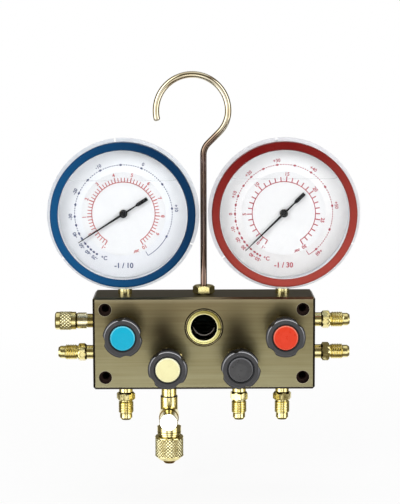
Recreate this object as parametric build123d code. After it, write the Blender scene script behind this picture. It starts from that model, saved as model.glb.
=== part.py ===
from build123d import *
from math import atan2, cos, degrees, hypot, radians, sin
import os

# A four-valve refrigerant manifold with two liquid-filled gauges, a sight glass and a hook.
# Millimetres. X points right, Y to the back and Z up, as someone who reads the gauges sees it.
# The origin is the centre of the block, which is also the centre of its mounting holes.

# ---- Block ---------------------------------------------------------------------------------
BLOCK_WIDTH = 162.0
BLOCK_HEIGHT = 68.0
BLOCK_DEPTH = 41.0
BLOCK_CHAMFER = 1.6
MOUNT_SPACING_X = 144.0
MOUNT_SPACING_Z = 50.0
MOUNT_HOLE_D = 5.5
COUNTERBORE_D = 9.4
COUNTERBORE_DEPTH = 6.0
INNER_X = 26.0  # the two inner valves, with a port below each
OUTER_VALVE_Z = 9.2
INNER_VALVE_Z = -13.8
UPPER_POST_Z = 13.8
LOWER_POST_Z = -9.2
PASSAGE_D = 4.0
GALLERY_Y = 10.0  # the drilling behind the valves that joins them to the sight glass
GALLERY_D = 5.0
BRANCH_D = 3.4  # the short drillings that run into a passage or the gallery
SMALL_BORE_D = 3.0  # through the access fitting and the gauge stems

# ---- Valves --------------------------------------------------------------------------------
BONNET_HEX = 21.0
BONNET_HEX_LENGTH = 8.0
BONNET_COLLAR_D = 16.0
BONNET_COLLAR_LENGTH = 3.0
BONNET_THREAD_D = 16.0
BONNET_THREAD_LENGTH = 10.0
GLAND_SEAL_D = 12.0
GLAND_SEAL_WIDTH = 2.0
GLAND_LIP = 1.0  # of the bonnet, over the gland seal
GLAND_SHOULDER = 1.5  # above the spindle's thread when the valve is open
PISTON_D = 11.0
PISTON_HEAD_LENGTH = 4.5
PISTON_NECK_D = 7.0
PISTON_FLOOR = 1.0  # under the spindle's journal, and the height of the piston's conical foot
PISTON_FOOT_D = 5.7
BONNET_MARGIN = 0.5  # left between the piston and the bonnet when the valve is open
SEAT_DEPTH = 24.0  # from the front of the block
SEAT_D = 4.5
SPINDLE_THREAD_D = 10.0
SPINDLE_D = 8.0
SPINDLE_SQUARE = 5.6
SPINDLE_JOURNAL_D = 6.0
VALVE_LIFT = 3.0
KNOB_D = 28.5
KNOB_LENGTH = 18.0
KNOB_GAP = 1.0  # between the knob and its bonnet when the valve is shut
KNOB_WALL = 2.6
KNOB_WEB = 5.0
KNOB_HUB_D = 12.0
KNOB_RIB = 1.6
KNOB_NOTCHES = 4
KNOB_NOTCH_DEPTH = 1.4
KNOB_NOTCH_R = 6.5
INSERT_D = 17.6
INSERT_GROOVE = 0.35
INSERT_POCKET = 2.6
INSERT_PROUD = 0.7
INSERT_EDGE = 0.4

# ---- Sight glass ---------------------------------------------------------------------------
GLASS_Z = 11.8
RING_D = 26.2
RING_FLANGE = 1.6  # as deep as its counterbore, so it lies flush
RING_MARGIN = 0.3
RING_RIM = 0.8  # the bevel round the counterbore
RING_THREAD_D = 24.0
RING_LENGTH = 7.0
RING_HOLE_D = 19.4
RING_GROOVE_D = 23.0
RING_GROOVE = 0.4
RING_SLOT_WIDTH = 1.3
RING_SLOT_ANGLE = -8.0
GLASS_THICKNESS = 3.0
GLASS_SEAL_THICKNESS = 1.5
GLASS_SEAL_STEP = 0.5  # the seal's ring stands back from the edge of the hole
CHAMBER_OVERRUN = 1.5  # past the middle of the gallery, which opens into the chamber

# ---- Flare fittings ------------------------------------------------------------------------
ROOT_THREAD_D = 9.7
ROOT_THREAD_LENGTH = 9.0
NECK_D = 10.3
NECK_LENGTH = 6.1
FITTING_HEX = 12.0
FITTING_HEX_LENGTH = 5.7
FLARE_THREAD_D = 11.112  # 7/16-20 UNF, the thread of a 1/4 inch flare
FLARE_THREAD_LENGTH = 9.6
NOSE_D = 9.3
NOSE_LENGTH = 5.2
NOSE_BEVEL = 1.6
FITTING_BORE_D = 4.5

# ---- Access fitting and its cap ------------------------------------------------------------
ACCESS_NECK_LENGTH = 5.6
ACCESS_BODY_D = 12.1
ACCESS_BODY_LENGTH = 6.4
ACCESS_CAP_GAP = 1.2
ACCESS_CAP_D = 14.0
ACCESS_CAP_LENGTH = 15.5
ACCESS_CAP_END = 3.7
ACCESS_CAP_ROOF = 2.0
ACCESS_CAP_GRIP = 0.4  # how far the middle band stands out
ACCESS_NOSE_GAP = 1.0  # between the fitting's nose and the cap
CORE_D = 4.4
CORE_WAIST_D = 2.2
CORE_PIN_D = 1.5
CORE_LENGTH = 18.0
CORE_BARREL = 5.0
CORE_HEAD = 3.0
CORE_CONE = 1.0
CORE_PIN_LENGTH = 2.0
CORE_SUNK = 1.0  # the pin ends inside the nose

# ---- Vacuum tee ----------------------------------------------------------------------------
TEE_NECK_D = 11.3
TEE_NECK_LENGTH = 8.6
TEE_SEAL_THICKNESS = 0.8
TEE_BODY_D = 12.9
TEE_BODY_LENGTH = 22.6
TEE_STUB_DROP = 23.0  # from the bottom of the block to the axis of the front stub
TEE_STUB_D = 14.6
TEE_STUB_LENGTH = 12.5
TEE_STUB_THREAD_LENGTH = 11.0
TEE_SEAL_LIP = 0.3  # the seal stands back from the body by this
TEE_COLLAR_D = 17.8
TEE_COLLAR_LENGTH = 5.2
TEE_BEVEL = 1.0
TEE_THREAD_D = 15.875  # 5/8-18 UNF, the thread of a 3/8 inch flare
TEE_THREAD_LENGTH = 9.6
TEE_NOSE_LENGTH = 3.2
TEE_SEAT_GAP = 0.2
TEE_BORE_D = 7.0
FRONT_CAP_D = 13.4
FRONT_CAP_LENGTH = 14.0
FRONT_CAP_ROOF = 2.0
FRONT_CAP_GAP = 1.5
CAP_EDGE = 0.5
BOTTOM_CAP_D = 21.2
BOTTOM_CAP_GAP = 2.0
BOTTOM_CAP_LENGTH = 17.8
BOTTOM_CAP_BEVEL = 3.0
BOTTOM_CAP_BOSS_D = 11.4
BOTTOM_CAP_BOSS_TAPER = 2.0
BOTTOM_CAP_BOSS_LENGTH = 2.8

# ---- Hook ----------------------------------------------------------------------------------
HOOK_D = 4.8
HOOK_STEM_TOP = 136.0  # where the straight stem starts to bend
HOOK_JOG_R = 12.0
HOOK_JOG_TURN = 45.0
HOOK_JOG_RUN = 11.6
HOOK_SHOULDER_R = 22.0
HOOK_BOW_R = 26.3
HOOK_BOW_TURN = 196.0
HOOK_TIP_ROUND = 1.6
HOOK_HEAD_D = 7.4
HOOK_HEAD_LENGTH = 2.0
HOOK_NUT_HEX = 14.0
HOOK_NUT_LENGTH = 6.0
HOOK_NUT_THREAD_D = 10.0
HOOK_NUT_THREAD_LENGTH = 6.5
HOOK_POCKET_DEPTH = 10.0

# ---- Gauges --------------------------------------------------------------------------------
GAUGE_GAP = 3.1  # from the middle of the manifold to each gauge's flange
GAUGE_LIFT = 6.0  # from the top of the block to the gauges' flanges
CASE_D = 98.8
CASE_WALL = 2.6
CASE_BACK = 16.0  # the back of the case, behind the stem's axis
CASE_ROUND = 5.0
CASE_RIM = 25.5  # the front edge of the case, before the stem's axis
CASE_FLANGE_REACH = 5.5
CASE_FLANGE_FRONT = 20.0
CASE_FLANGE_THICKNESS = 2.5
CASE_FLANGE_GAPS = (96.0, 216.0, 336.0)
CASE_FLANGE_GAP_WIDTH = 1.6
CASE_BOSS_D = 17.0
CASE_BOSS_PROUD = 2.0
GASKET_THICKNESS = 0.8
LENS_THICKNESS = 2.4
BEZEL_WALL = 2.8
BEZEL_COVER = 3.25  # how far the lip reaches in over the lens
BEZEL_LIP = 2.6
BEZEL_LIP_EDGE = 0.6
BEZEL_LIP_SLOPE = 1.0
BEZEL_ROUND = 2.2
PLUG_D = 8.0
PLUG_HEAD_D = 11.0
PLUG_HEAD_LENGTH = 1.6
PLUG_STEM_LENGTH = 4.0
PLUG_SEAT_MARGIN = 0.5
STEM_D = 10.4
STEM_THREAD_D = 9.728  # 1/8 inch pipe thread
STEM_THREAD_LENGTH = 9.0
SOCKET_WIDTH = 18.0
SOCKET_TOP = -24.0  # below the gauge's axis
SOCKET_MARGIN = 1.8  # from the socket to the wall of the case
SOCKET_FRONT = 1.2
SOCKET_BACK = -11.0
DIAL_BACK = 15.7
DIAL_THICKNESS = 0.8
DIAL_STEP_D = 60.6
DIAL_STEP = 0.5
DIAL_HOLE_D = 6.0
DIAL_MARGIN = 0.2
POINTER_FRONT = 19.7
POINTER_THICKNESS = 0.8
POINTER_HUB_D = 5.6
POINTER_HUB_LENGTH = 2.8
POINTER_LENGTH = 38.9
POINTER_WIDTH = 1.7
POINTER_TIP_WIDTH = 0.5
POINTER_TAIL = 20.6
POINTER_TAIL_NARROW = 10.5  # from the hub, where the tail starts to widen
POINTER_TAIL_SHOULDER = 2.0
POINTER_TAIL_WIDTH = 2.7
POINTER_HUB_ROOF = 0.4
POINTER_HUB_EDGE = 0.5
LOW_POINTER_ANGLE = 212.6  # anticlockwise from +X, as the dial is read
HIGH_POINTER_ANGLE = 224.3

# ---- Gauge movement ------------------------------------------------------------------------
TUBE_R = 33.0
TUBE_THICKNESS = 3.0
TUBE_WIDTH = 9.0
TUBE_WALL = 0.5
TUBE_MIDDLE = -5.5
TUBE_START = -92.0
TUBE_SWEEP = 290.0
TIP_SIZE = 6.0
TIP_TAB_FRONT = 2.7
TIP_TAB_THICKNESS = 1.0
TIP_TAB_MARGIN = 0.5  # of the tab round the end of the link
PLATE_WIDTH = 22.0
PLATE_TOP = 11.0
PLATE_ROUND = 3.0
PLATE_THICKNESS = 1.2
BACK_PLATE_BOTTOM = -34.0
FRONT_PLATE_BOTTOM = -26.0
PLATE_GAP = 7.2
PILLAR_D = 3.4
PILLAR_X = 8.5
PILLAR_TOP_Y = 8.0
PILLAR_BOTTOM_Y = -23.0
GEAR_MODULE = 0.4
PINION_TEETH = 8
SECTOR_FULL_TEETH = 80
SECTOR_TEETH = (-8, 3)  # first and last, counted from the mesh at rest
TOOTH_SHARE = 0.36  # of the pitch, so the rest is backlash
TOOTH_ADDENDUM = 0.8
TOOTH_DEDENDUM = 1.15
TOOTH_SLOPE = 0.3  # how far each flank leans, as the others in modules
GEAR_LEVEL = 4.2
SECTOR_THICKNESS = 1.2
PINION_LENGTH = 2.2
PINION_OVERLAP = 0.4  # the pinion stands past the sector on each side
ARBOR_D = 2.0
ARBOR_TIP_D = 1.6
RUNNING_CLEARANCE = 0.05
SECTOR_ANGLE = -70.0  # from the pinion to the sector's pivot
SECTOR_TAIL_ANGLE = -5.0
SECTOR_TAIL = 14.0
SECTOR_ARM_WIDTH = 4.0
SECTOR_TAIL_WIDTH = 3.0
SECTOR_RIM = 2.3
SECTOR_SPOKE_ANGLE = 9.0
LINK_THICKNESS = 0.8
LINK_WIDTH = 3.0
LINK_GAP = 0.3
LINK_PIN_D = 1.6
LINK_HOLE_X = 25.0
LINK_HOLE_Y = -6.5
SPRING_INNER_R = 2.3
SPRING_PITCH = 1.1
SPRING_HALF_TURNS = 7
SPRING_THICKNESS = 0.25
SPRING_WIDTH = 1.0
SPRING_LEVEL = 7.4
STUD_WIDTH = 1.0
COLLET_D = 3.6
COLLET_MARGIN = 0.2

SLIP = 0.05  # between a turning or sliding piece and what guides it
FRONT_Y = -BLOCK_DEPTH / 2
TOP_Z = BLOCK_HEIGHT / 2
BOTTOM_Z = -BLOCK_HEIGHT / 2
SIDE_X = BLOCK_WIDTH / 2
CASE_FLANGE_D = CASE_D + 2 * CASE_FLANGE_REACH
OUTER_X = CASE_FLANGE_D / 2 + GAUGE_GAP  # the gauges, and the valves and ports below them
GAUGE_Z = TOP_Z + CASE_FLANGE_D / 2 + GAUGE_LIFT

LEFT = (-1, 0, 0)
RIGHT = (1, 0, 0)
FRONT = (0, -1, 0)
UP = (0, 0, 1)
DOWN = (0, 0, -1)

VALVES = {
    "blue": (-OUTER_X, OUTER_VALVE_Z, 8.0),
    "yellow": (-INNER_X, INNER_VALVE_Z, 36.0),
    "black": (INNER_X, INNER_VALVE_Z, 14.0),
    "red": (OUTER_X, OUTER_VALVE_Z, 45.0),
}
GAUGES = {"low": (-OUTER_X, LOW_POINTER_ANGLE), "high": (OUTER_X, HIGH_POINTER_ANGLE)}
PORTS = {
    "low_side_port": (-OUTER_X, 8.0),
    "charging_port": (INNER_X, 22.0),
    "high_side_port": (OUTER_X, 50.0),
}
POSTS = (
    (-SIDE_X, LOWER_POST_Z, LEFT, 20.0),
    (SIDE_X, UPPER_POST_Z, RIGHT, 40.0),
    (SIDE_X, LOWER_POST_Z, RIGHT, 10.0),
)
HEX_BEVEL = 0.9  # as a share of how far the corners stand out
HEX_FACE = 0.97  # the round end face, as a share of the width over the flats


# ---- Helpers -------------------------------------------------------------------------------
def turned(*points):
    """Turn an outline of (radius, height) points about Z."""
    return revolve(make_face(Plane.XZ * Polyline(*points, close=True)), Axis.Z)


def rod(diameter, low, high, x=0, y=0):
    """A round bar along Z from one height to another."""
    return Pos(x, y, (low + high) / 2) * Cylinder(diameter / 2, high - low)


def ring(outer, inner, low, high):
    return rod(outer, low, high) - rod(inner, low, high)


def slab(x_range, y_range, z_range):
    """A block between two limits on each axis."""
    size = [high - low for low, high in (x_range, y_range, z_range)]
    middle = [(high + low) / 2 for low, high in (x_range, y_range, z_range)]
    return Pos(*middle) * Box(*size)


def aimed(shape, origin, direction, turn=0):
    """Put a shape made about Z at a place, with its Z along a direction."""
    x_dir = (1, 0, 0) if direction[0] == 0 else (0, 1, 0)
    return Plane(origin=origin, x_dir=x_dir, z_dir=direction).location * Rot(0, 0, turn) * shape


def hex_bar(across_flats, low, high):
    """A hexagon nut body with its corners turned off at both ends."""
    corner = across_flats / 3**0.5
    blank = Pos(0, 0, low) * extrude(RegularPolygon(corner, 6), high - low)
    drop = (corner - across_flats / 2) * HEX_BEVEL
    inner = across_flats / 2 * HEX_FACE
    return blank & turned(
        (0, low),
        (inner, low),
        (corner, low + drop),
        (corner, high - drop),
        (inner, high),
        (0, high),
    )


def polar(radius, angle):
    return radius * cos(radians(angle)), radius * sin(radians(angle))


# ---- Block ---------------------------------------------------------------------------------
def manifold_block():
    block = chamfer(Box(BLOCK_WIDTH, BLOCK_DEPTH, BLOCK_HEIGHT).edges(), BLOCK_CHAMFER)
    depth = BLOCK_DEPTH / 2
    hole = rod(MOUNT_HOLE_D, -depth, depth) + rod(COUNTERBORE_D, depth - COUNTERBORE_DEPTH, depth)
    for x in (-MOUNT_SPACING_X / 2, MOUNT_SPACING_X / 2):
        for z in (-MOUNT_SPACING_Z / 2, MOUNT_SPACING_Z / 2):
            block -= aimed(hole, (x, 0, z), FRONT)
    block -= aimed(sight_glass_pocket(), (0, FRONT_Y, GLASS_Z), FRONT)
    for x, z, _ in VALVES.values():
        block -= aimed(valve_pocket(), (x, FRONT_Y, z), FRONT)
    root = rod(ROOT_THREAD_D, -ROOT_THREAD_LENGTH, 0)
    for x in (-OUTER_X, -INNER_X, INNER_X, OUTER_X):
        block -= aimed(root, (x, 0, BOTTOM_Z), DOWN)
    for x, z, direction, _ in POSTS:
        block -= aimed(root, (x, 0, z), direction)
    block -= aimed(root, (-SIDE_X, 0, UPPER_POST_Z), LEFT)
    block -= Pos(0, 0, TOP_Z) * rod(HOOK_NUT_THREAD_D, -HOOK_POCKET_DEPTH, 0)
    port_top = BOTTOM_Z + ROOT_THREAD_LENGTH
    gauge_bottom = TOP_Z - STEM_THREAD_LENGTH
    for x in (-OUTER_X, OUTER_X):
        block -= Pos(x, 0, TOP_Z) * rod(STEM_THREAD_D, -STEM_THREAD_LENGTH, 0)
        block -= rod(PASSAGE_D, port_top, gauge_bottom, x)
    for x in (-INNER_X, INNER_X):
        block -= rod(PASSAGE_D, port_top, INNER_VALVE_Z, x)
        block -= rod(BRANCH_D, INNER_VALVE_Z, OUTER_VALVE_Z, x, GALLERY_Y)
    side_hole = SIDE_X - ROOT_THREAD_LENGTH
    block -= aimed(rod(BRANCH_D, 0, side_hole - OUTER_X), (-OUTER_X, 0, UPPER_POST_Z), LEFT)
    return block - aimed(rod(GALLERY_D, -OUTER_X, OUTER_X), (0, GALLERY_Y, OUTER_VALVE_Z), RIGHT)


def valve_pocket():
    """The stepped hole of one valve, from the front of the block inwards."""
    gallery = FRONT_Y - GALLERY_Y
    steps = rod(BONNET_THREAD_D, -BONNET_THREAD_LENGTH, 0)
    steps += rod(PISTON_D, -SEAT_DEPTH, -BONNET_THREAD_LENGTH)
    return steps + rod(SEAT_D, gallery, -SEAT_DEPTH)


def sight_glass_pocket():
    depth = RING_LENGTH + GLASS_THICKNESS + GLASS_SEAL_THICKNESS
    mouth = RING_D / 2 + RING_MARGIN
    bevel = turned((0, -RING_RIM), (mouth, -RING_RIM), (mouth + RING_RIM, 0), (0, 0))
    seat = rod(2 * mouth, -RING_FLANGE, -RING_RIM) + rod(RING_THREAD_D, -depth, -RING_FLANGE)
    chamber = GALLERY_Y - FRONT_Y + CHAMBER_OVERRUN
    return bevel + seat + rod(RING_HOLE_D, -chamber, -depth)


# ---- Sight glass ---------------------------------------------------------------------------
def sight_glass_ring():
    body = ring(RING_D, RING_HOLE_D, -RING_FLANGE, 0)
    body += ring(RING_THREAD_D, RING_HOLE_D, -RING_LENGTH, -RING_FLANGE)
    body -= ring(RING_GROOVE_D, RING_GROOVE_D - 2 * RING_GROOVE, -RING_GROOVE, 0)
    half = RING_SLOT_WIDTH / 2
    slot = slab((RING_GROOVE_D / 2, RING_D / 2 + RING_RIM), (-half, half), (-RING_FLANGE / 2, RING_RIM))
    return body - Rot(0, 0, RING_SLOT_ANGLE) * slot


def sight_glass_lens():
    return rod(RING_THREAD_D - 2 * SLIP, -RING_LENGTH - GLASS_THICKNESS, -RING_LENGTH)


def sight_glass_seal():
    top = -RING_LENGTH - GLASS_THICKNESS
    inner = RING_HOLE_D + 2 * GLASS_SEAL_STEP
    return ring(RING_THREAD_D - 2 * SLIP, inner, top - GLASS_SEAL_THICKNESS, top)


# ---- Fittings ------------------------------------------------------------------------------
def flare_fitting():
    """A flare male fitting, from its thread in the block out to its nose."""
    hex_top = NECK_LENGTH + FITTING_HEX_LENGTH
    thread_top = hex_top + FLARE_THREAD_LENGTH
    top = thread_top + NOSE_LENGTH
    root, neck, thread, nose = ROOT_THREAD_D / 2, NECK_D / 2, FLARE_THREAD_D / 2, NOSE_D / 2
    body = turned(
        (0, -ROOT_THREAD_LENGTH),
        (root, -ROOT_THREAD_LENGTH),
        (root, 0),
        (neck, 0),
        (neck, NECK_LENGTH),
        (thread, NECK_LENGTH),
        (thread, thread_top),
        (nose, thread_top),
        (nose, top - NOSE_BEVEL),
        (nose - NOSE_BEVEL, top),
        (0, top),
    )
    body += hex_bar(FITTING_HEX, NECK_LENGTH, hex_top)
    return body - rod(FITTING_BORE_D, -ROOT_THREAD_LENGTH, top)


def access_cap_low():
    return ACCESS_NECK_LENGTH + ACCESS_BODY_LENGTH + ACCESS_CAP_GAP


def access_nose():
    return access_cap_low() + ACCESS_CAP_LENGTH - ACCESS_CAP_ROOF - ACCESS_NOSE_GAP


def access_fitting():
    """The fitting under the access cap, bored for its valve core."""
    body_top = ACCESS_NECK_LENGTH + ACCESS_BODY_LENGTH
    top = access_nose()
    root, neck, body, thread = ROOT_THREAD_D / 2, NECK_D / 2, ACCESS_BODY_D / 2, FLARE_THREAD_D / 2
    fitting = turned(
        (0, -ROOT_THREAD_LENGTH),
        (root, -ROOT_THREAD_LENGTH),
        (root, 0),
        (neck, 0),
        (neck, ACCESS_NECK_LENGTH),
        (body, ACCESS_NECK_LENGTH),
        (body, body_top),
        (thread, body_top),
        (thread, top - NOSE_LENGTH),
        (NOSE_D / 2, top - NOSE_LENGTH),
        (NOSE_D / 2, top - NOSE_BEVEL),
        (NOSE_D / 2 - NOSE_BEVEL, top),
        (0, top),
    )
    return fitting - rod(CORE_D, top - CORE_LENGTH, top) - rod(SMALL_BORE_D, -ROOT_THREAD_LENGTH, top)


def access_core():
    """The spring valve core, with its pin just inside the nose."""
    barrel, waist, pin = CORE_D / 2, CORE_WAIST_D / 2, CORE_PIN_D / 2
    low = access_nose() - CORE_LENGTH
    tip = access_nose() - CORE_SUNK
    head_top = tip - CORE_PIN_LENGTH
    head_low = head_top - CORE_HEAD
    return turned(
        (0, low),
        (barrel, low),
        (barrel, low + CORE_BARREL),
        (waist, low + CORE_BARREL + CORE_CONE),
        (waist, head_low - CORE_CONE),
        (barrel, head_low),
        (barrel, head_top),
        (pin, head_top),
        (pin, tip),
        (0, tip),
    )


def access_cap():
    low = access_cap_low()
    top = low + ACCESS_CAP_LENGTH
    outer, end = ACCESS_CAP_D / 2, ACCESS_CAP_D / 2 - ACCESS_CAP_GRIP
    bevel = ACCESS_CAP_END / 3
    cap = turned(
        (0, low),
        (end, low),
        (end, low + ACCESS_CAP_END),
        (outer, low + ACCESS_CAP_END),
        (outer, top - ACCESS_CAP_END),
        (end, top - ACCESS_CAP_END),
        (end, top - bevel),
        (end - bevel, top),
        (0, top),
    )
    return cap - rod(FLARE_THREAD_D + 2 * SLIP, low, top - ACCESS_CAP_ROOF)


# ---- Vacuum tee ----------------------------------------------------------------------------
def tee_levels():
    """Heights below the block: seal, body, collar, thread and nose of the tee."""
    seal = TEE_NECK_LENGTH
    body = seal + TEE_SEAL_THICKNESS
    collar = body + TEE_BODY_LENGTH
    thread = collar + TEE_COLLAR_LENGTH
    return seal, body, collar, thread, thread + TEE_THREAD_LENGTH


def vacuum_tee():
    seal, body, collar, thread, nose = tee_levels()
    root, neck, barrel = ROOT_THREAD_D / 2, TEE_NECK_D / 2, TEE_BODY_D / 2
    lip, screw = TEE_COLLAR_D / 2, TEE_THREAD_D / 2
    top = nose + TEE_NOSE_LENGTH
    groove = neck - TEE_SEAL_THICKNESS
    tee = turned(
        (0, -ROOT_THREAD_LENGTH),
        (root, -ROOT_THREAD_LENGTH),
        (root, 0),
        (neck, 0),
        (neck, seal),
        (groove, seal),
        (groove, body),
        (barrel, body),
        (barrel, collar - TEE_BEVEL),
        (lip, collar),
        (lip, thread),
        (screw, thread),
        (screw, nose),
        (screw - TEE_NOSE_LENGTH, top),
        (0, top),
    )
    stub_end = TEE_STUB_LENGTH + TEE_STUB_THREAD_LENGTH
    stub = turned(
        (0, 0),
        (TEE_STUB_D / 2, 0),
        (TEE_STUB_D / 2, TEE_STUB_LENGTH),
        (FLARE_THREAD_D / 2, TEE_STUB_LENGTH + TEE_BEVEL),
        (FLARE_THREAD_D / 2, stub_end),
        (0, stub_end),
    )
    forward = (0, 1, 0)
    tee += aimed(stub, (0, 0, TEE_STUB_DROP), forward)
    tee -= aimed(rod(FITTING_BORE_D, 0, stub_end), (0, 0, TEE_STUB_DROP), forward)
    return tee - rod(PASSAGE_D, -ROOT_THREAD_LENGTH, top) - rod(TEE_BORE_D, collar, top)


def tee_seal():
    seal, body, *_ = tee_levels()
    return ring(TEE_BODY_D - 2 * TEE_SEAL_LIP, TEE_NECK_D - 2 * TEE_SEAL_THICKNESS, seal, body)


def tee_bottom_cap():
    _, _, _, thread, nose = tee_levels()
    low = thread + BOTTOM_CAP_GAP
    top = low + BOTTOM_CAP_LENGTH
    outer, boss = BOTTOM_CAP_D / 2, BOTTOM_CAP_BOSS_D / 2
    cap = turned(
        (0, low),
        (outer - CAP_EDGE, low),
        (outer, low + CAP_EDGE),
        (outer, top - BOTTOM_CAP_BEVEL),
        (outer - BOTTOM_CAP_BEVEL, top),
        (boss, top),
        (boss - BOTTOM_CAP_BOSS_TAPER, top + BOTTOM_CAP_BOSS_LENGTH),
        (0, top + BOTTOM_CAP_BOSS_LENGTH),
    )
    bore, seat = TEE_THREAD_D / 2 + SLIP, nose + TEE_SEAT_GAP
    floor = seat + TEE_NOSE_LENGTH
    return cap - turned((0, low), (bore, low), (bore, seat), (bore - TEE_NOSE_LENGTH, floor), (0, floor))


def tee_front_cap():
    low = TEE_STUB_LENGTH + FRONT_CAP_GAP
    top = low + FRONT_CAP_LENGTH
    cap = rod(FRONT_CAP_D, low, top)
    cap = chamfer(cap.edges().group_by(Axis.Z)[-1], CAP_EDGE)
    return cap - rod(FLARE_THREAD_D + 2 * SLIP, low, top - FRONT_CAP_ROOF)


# ---- Valves, made about Z with the front of the block at height 0 ---------------------------
def bonnet_top():
    return BONNET_HEX_LENGTH + BONNET_COLLAR_LENGTH


def gland_shoulder():
    """The step in the bonnet that stops the spindle's thread when the valve is open."""
    return VALVE_LIFT + GLAND_SHOULDER


def valve_bonnet():
    bonnet = hex_bar(BONNET_HEX, 0, BONNET_HEX_LENGTH) + rod(BONNET_THREAD_D, -BONNET_THREAD_LENGTH, 0)
    bonnet += rod(BONNET_COLLAR_D, BONNET_HEX_LENGTH, bonnet_top())
    bonnet -= rod(SPINDLE_THREAD_D + 2 * SLIP, -BONNET_THREAD_LENGTH, gland_shoulder())
    bonnet -= rod(SPINDLE_D + 2 * SLIP, gland_shoulder(), bonnet_top())
    top = bonnet_top() - GLAND_LIP
    return bonnet - rod(GLAND_SEAL_D, top - GLAND_SEAL_WIDTH, top)


def gland_seal():
    top = bonnet_top() - GLAND_LIP
    return ring(GLAND_SEAL_D, SPINDLE_D + 2 * SLIP, top - GLAND_SEAL_WIDTH, top)


def piston_top():
    """Low enough to stay under the bonnet when the valve is open."""
    return -BONNET_THREAD_LENGTH - VALVE_LIFT - BONNET_MARGIN


def valve_piston():
    head, neck, seat = PISTON_D / 2 - SLIP, PISTON_NECK_D / 2, -SEAT_DEPTH + SLIP
    head_bottom = piston_top() - PISTON_HEAD_LENGTH
    piston = turned(
        (0, piston_top()),
        (head, piston_top()),
        (head, head_bottom),
        (neck, head_bottom),
        (neck, seat + PISTON_FLOOR),
        (PISTON_FOOT_D / 2, seat),
        (0, seat),
    )
    return piston - rod(SPINDLE_JOURNAL_D + 2 * SLIP, head_bottom + PISTON_FLOOR, piston_top())


def knob_back():
    return bonnet_top() + KNOB_GAP


def knob_front():
    return knob_back() + KNOB_LENGTH


def pocket_floor():
    """The floor of the pocket in the knob that takes the insert."""
    return knob_front() - INSERT_POCKET


def valve_spindle():
    journal_bottom = piston_top() - PISTON_HEAD_LENGTH + PISTON_FLOOR + SLIP
    thread_bottom = piston_top() + VALVE_LIFT / 2
    thread_top = gland_shoulder() - VALVE_LIFT - BONNET_MARGIN
    spindle = rod(SPINDLE_JOURNAL_D, journal_bottom, thread_bottom)
    spindle += rod(SPINDLE_THREAD_D, thread_bottom, thread_top)
    spindle += rod(SPINDLE_D, thread_top, knob_back())
    half = SPINDLE_SQUARE / 2
    return spindle + slab((-half, half), (-half, half), (knob_back(), pocket_floor()))


def valve_knob():
    """A moulded knob with shallow finger notches, hollow behind round a ribbed hub."""
    back, front = knob_back(), knob_front()
    outline = make_face(Circle(KNOB_D / 2).edges())
    reach = KNOB_D / 2 - KNOB_NOTCH_DEPTH + KNOB_NOTCH_R
    pitch = 360 / KNOB_NOTCHES
    for step in range(KNOB_NOTCHES):
        outline -= Pos(*polar(reach, step * pitch)) * Circle(KNOB_NOTCH_R)
    outline = fillet(outline.vertices(), KNOB_NOTCH_DEPTH)
    knob = Pos(0, 0, back) * extrude(outline, KNOB_LENGTH)
    knob = fillet(knob.edges().group_by(Axis.Z)[-1], KNOB_NOTCH_DEPTH)
    inner = KNOB_D - 2 * (KNOB_WALL + KNOB_NOTCH_DEPTH)
    web = pocket_floor() - KNOB_WEB
    hollow = ring(inner, KNOB_HUB_D, back, web)
    for step in range(KNOB_NOTCHES):
        rib = slab((0, inner / 2), (-KNOB_RIB / 2, KNOB_RIB / 2), (back + KNOB_GAP, web))
        hollow -= Rot(0, 0, (step + 0.5) * pitch) * rib
    knob -= hollow
    knob -= rod(INSERT_D + 2 * INSERT_GROOVE, pocket_floor(), front)
    half = SPINDLE_SQUARE / 2
    return knob - slab((-half, half), (-half, half), (back, pocket_floor()))


def knob_insert():
    r, low, top = INSERT_D / 2, pocket_floor(), knob_front()
    return turned(
        (0, low),
        (r, low),
        (r, top - INSERT_EDGE),
        (r - INSERT_EDGE, top),
        (r / 2, top + INSERT_PROUD * 3 / 4),
        (0, top + INSERT_PROUD),
    )


# ---- Hook ----------------------------------------------------------------------------------
def hook():
    head_top = TOP_Z - HOOK_NUT_THREAD_LENGTH - SLIP
    stem = Line((0, head_top), (0, HOOK_STEM_TOP))
    jog = JernArc(stem @ 1, stem % 1, HOOK_JOG_R, -HOOK_JOG_TURN)
    run = PolarLine(jog @ 1, HOOK_JOG_RUN, direction=jog % 1)
    shoulder = JernArc(run @ 1, run % 1, HOOK_SHOULDER_R, HOOK_JOG_TURN)
    bow = JernArc(shoulder @ 1, shoulder % 1, HOOK_BOW_R, HOOK_BOW_TURN)
    path = Plane.XZ * Wire([stem, jog, run, shoulder, bow])
    bar = sweep(Plane(origin=(0, 0, head_top)) * Circle(HOOK_D / 2), path)
    tip = Plane.XZ.from_local_coords(bow @ 1)
    end = bar.faces().sort_by_distance(tip)[0]
    bar = fillet(end.edges(), HOOK_TIP_ROUND)
    return bar + rod(HOOK_HEAD_D, head_top - HOOK_HEAD_LENGTH, head_top)


def hook_nut():
    low, high = TOP_Z - HOOK_NUT_THREAD_LENGTH, TOP_Z + HOOK_NUT_LENGTH
    nut = hex_bar(HOOK_NUT_HEX, TOP_Z, high) + rod(HOOK_NUT_THREAD_D, low, TOP_Z)
    return nut - rod(HOOK_D + 2 * SLIP, low, high)


# ---- Gauges, made about Z with Y up and the stem's axis at height 0 --------------------------
def stem_drop():
    return GAUGE_Z - TOP_Z


def lens_back():
    return CASE_RIM + GASKET_THICKNESS


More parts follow.
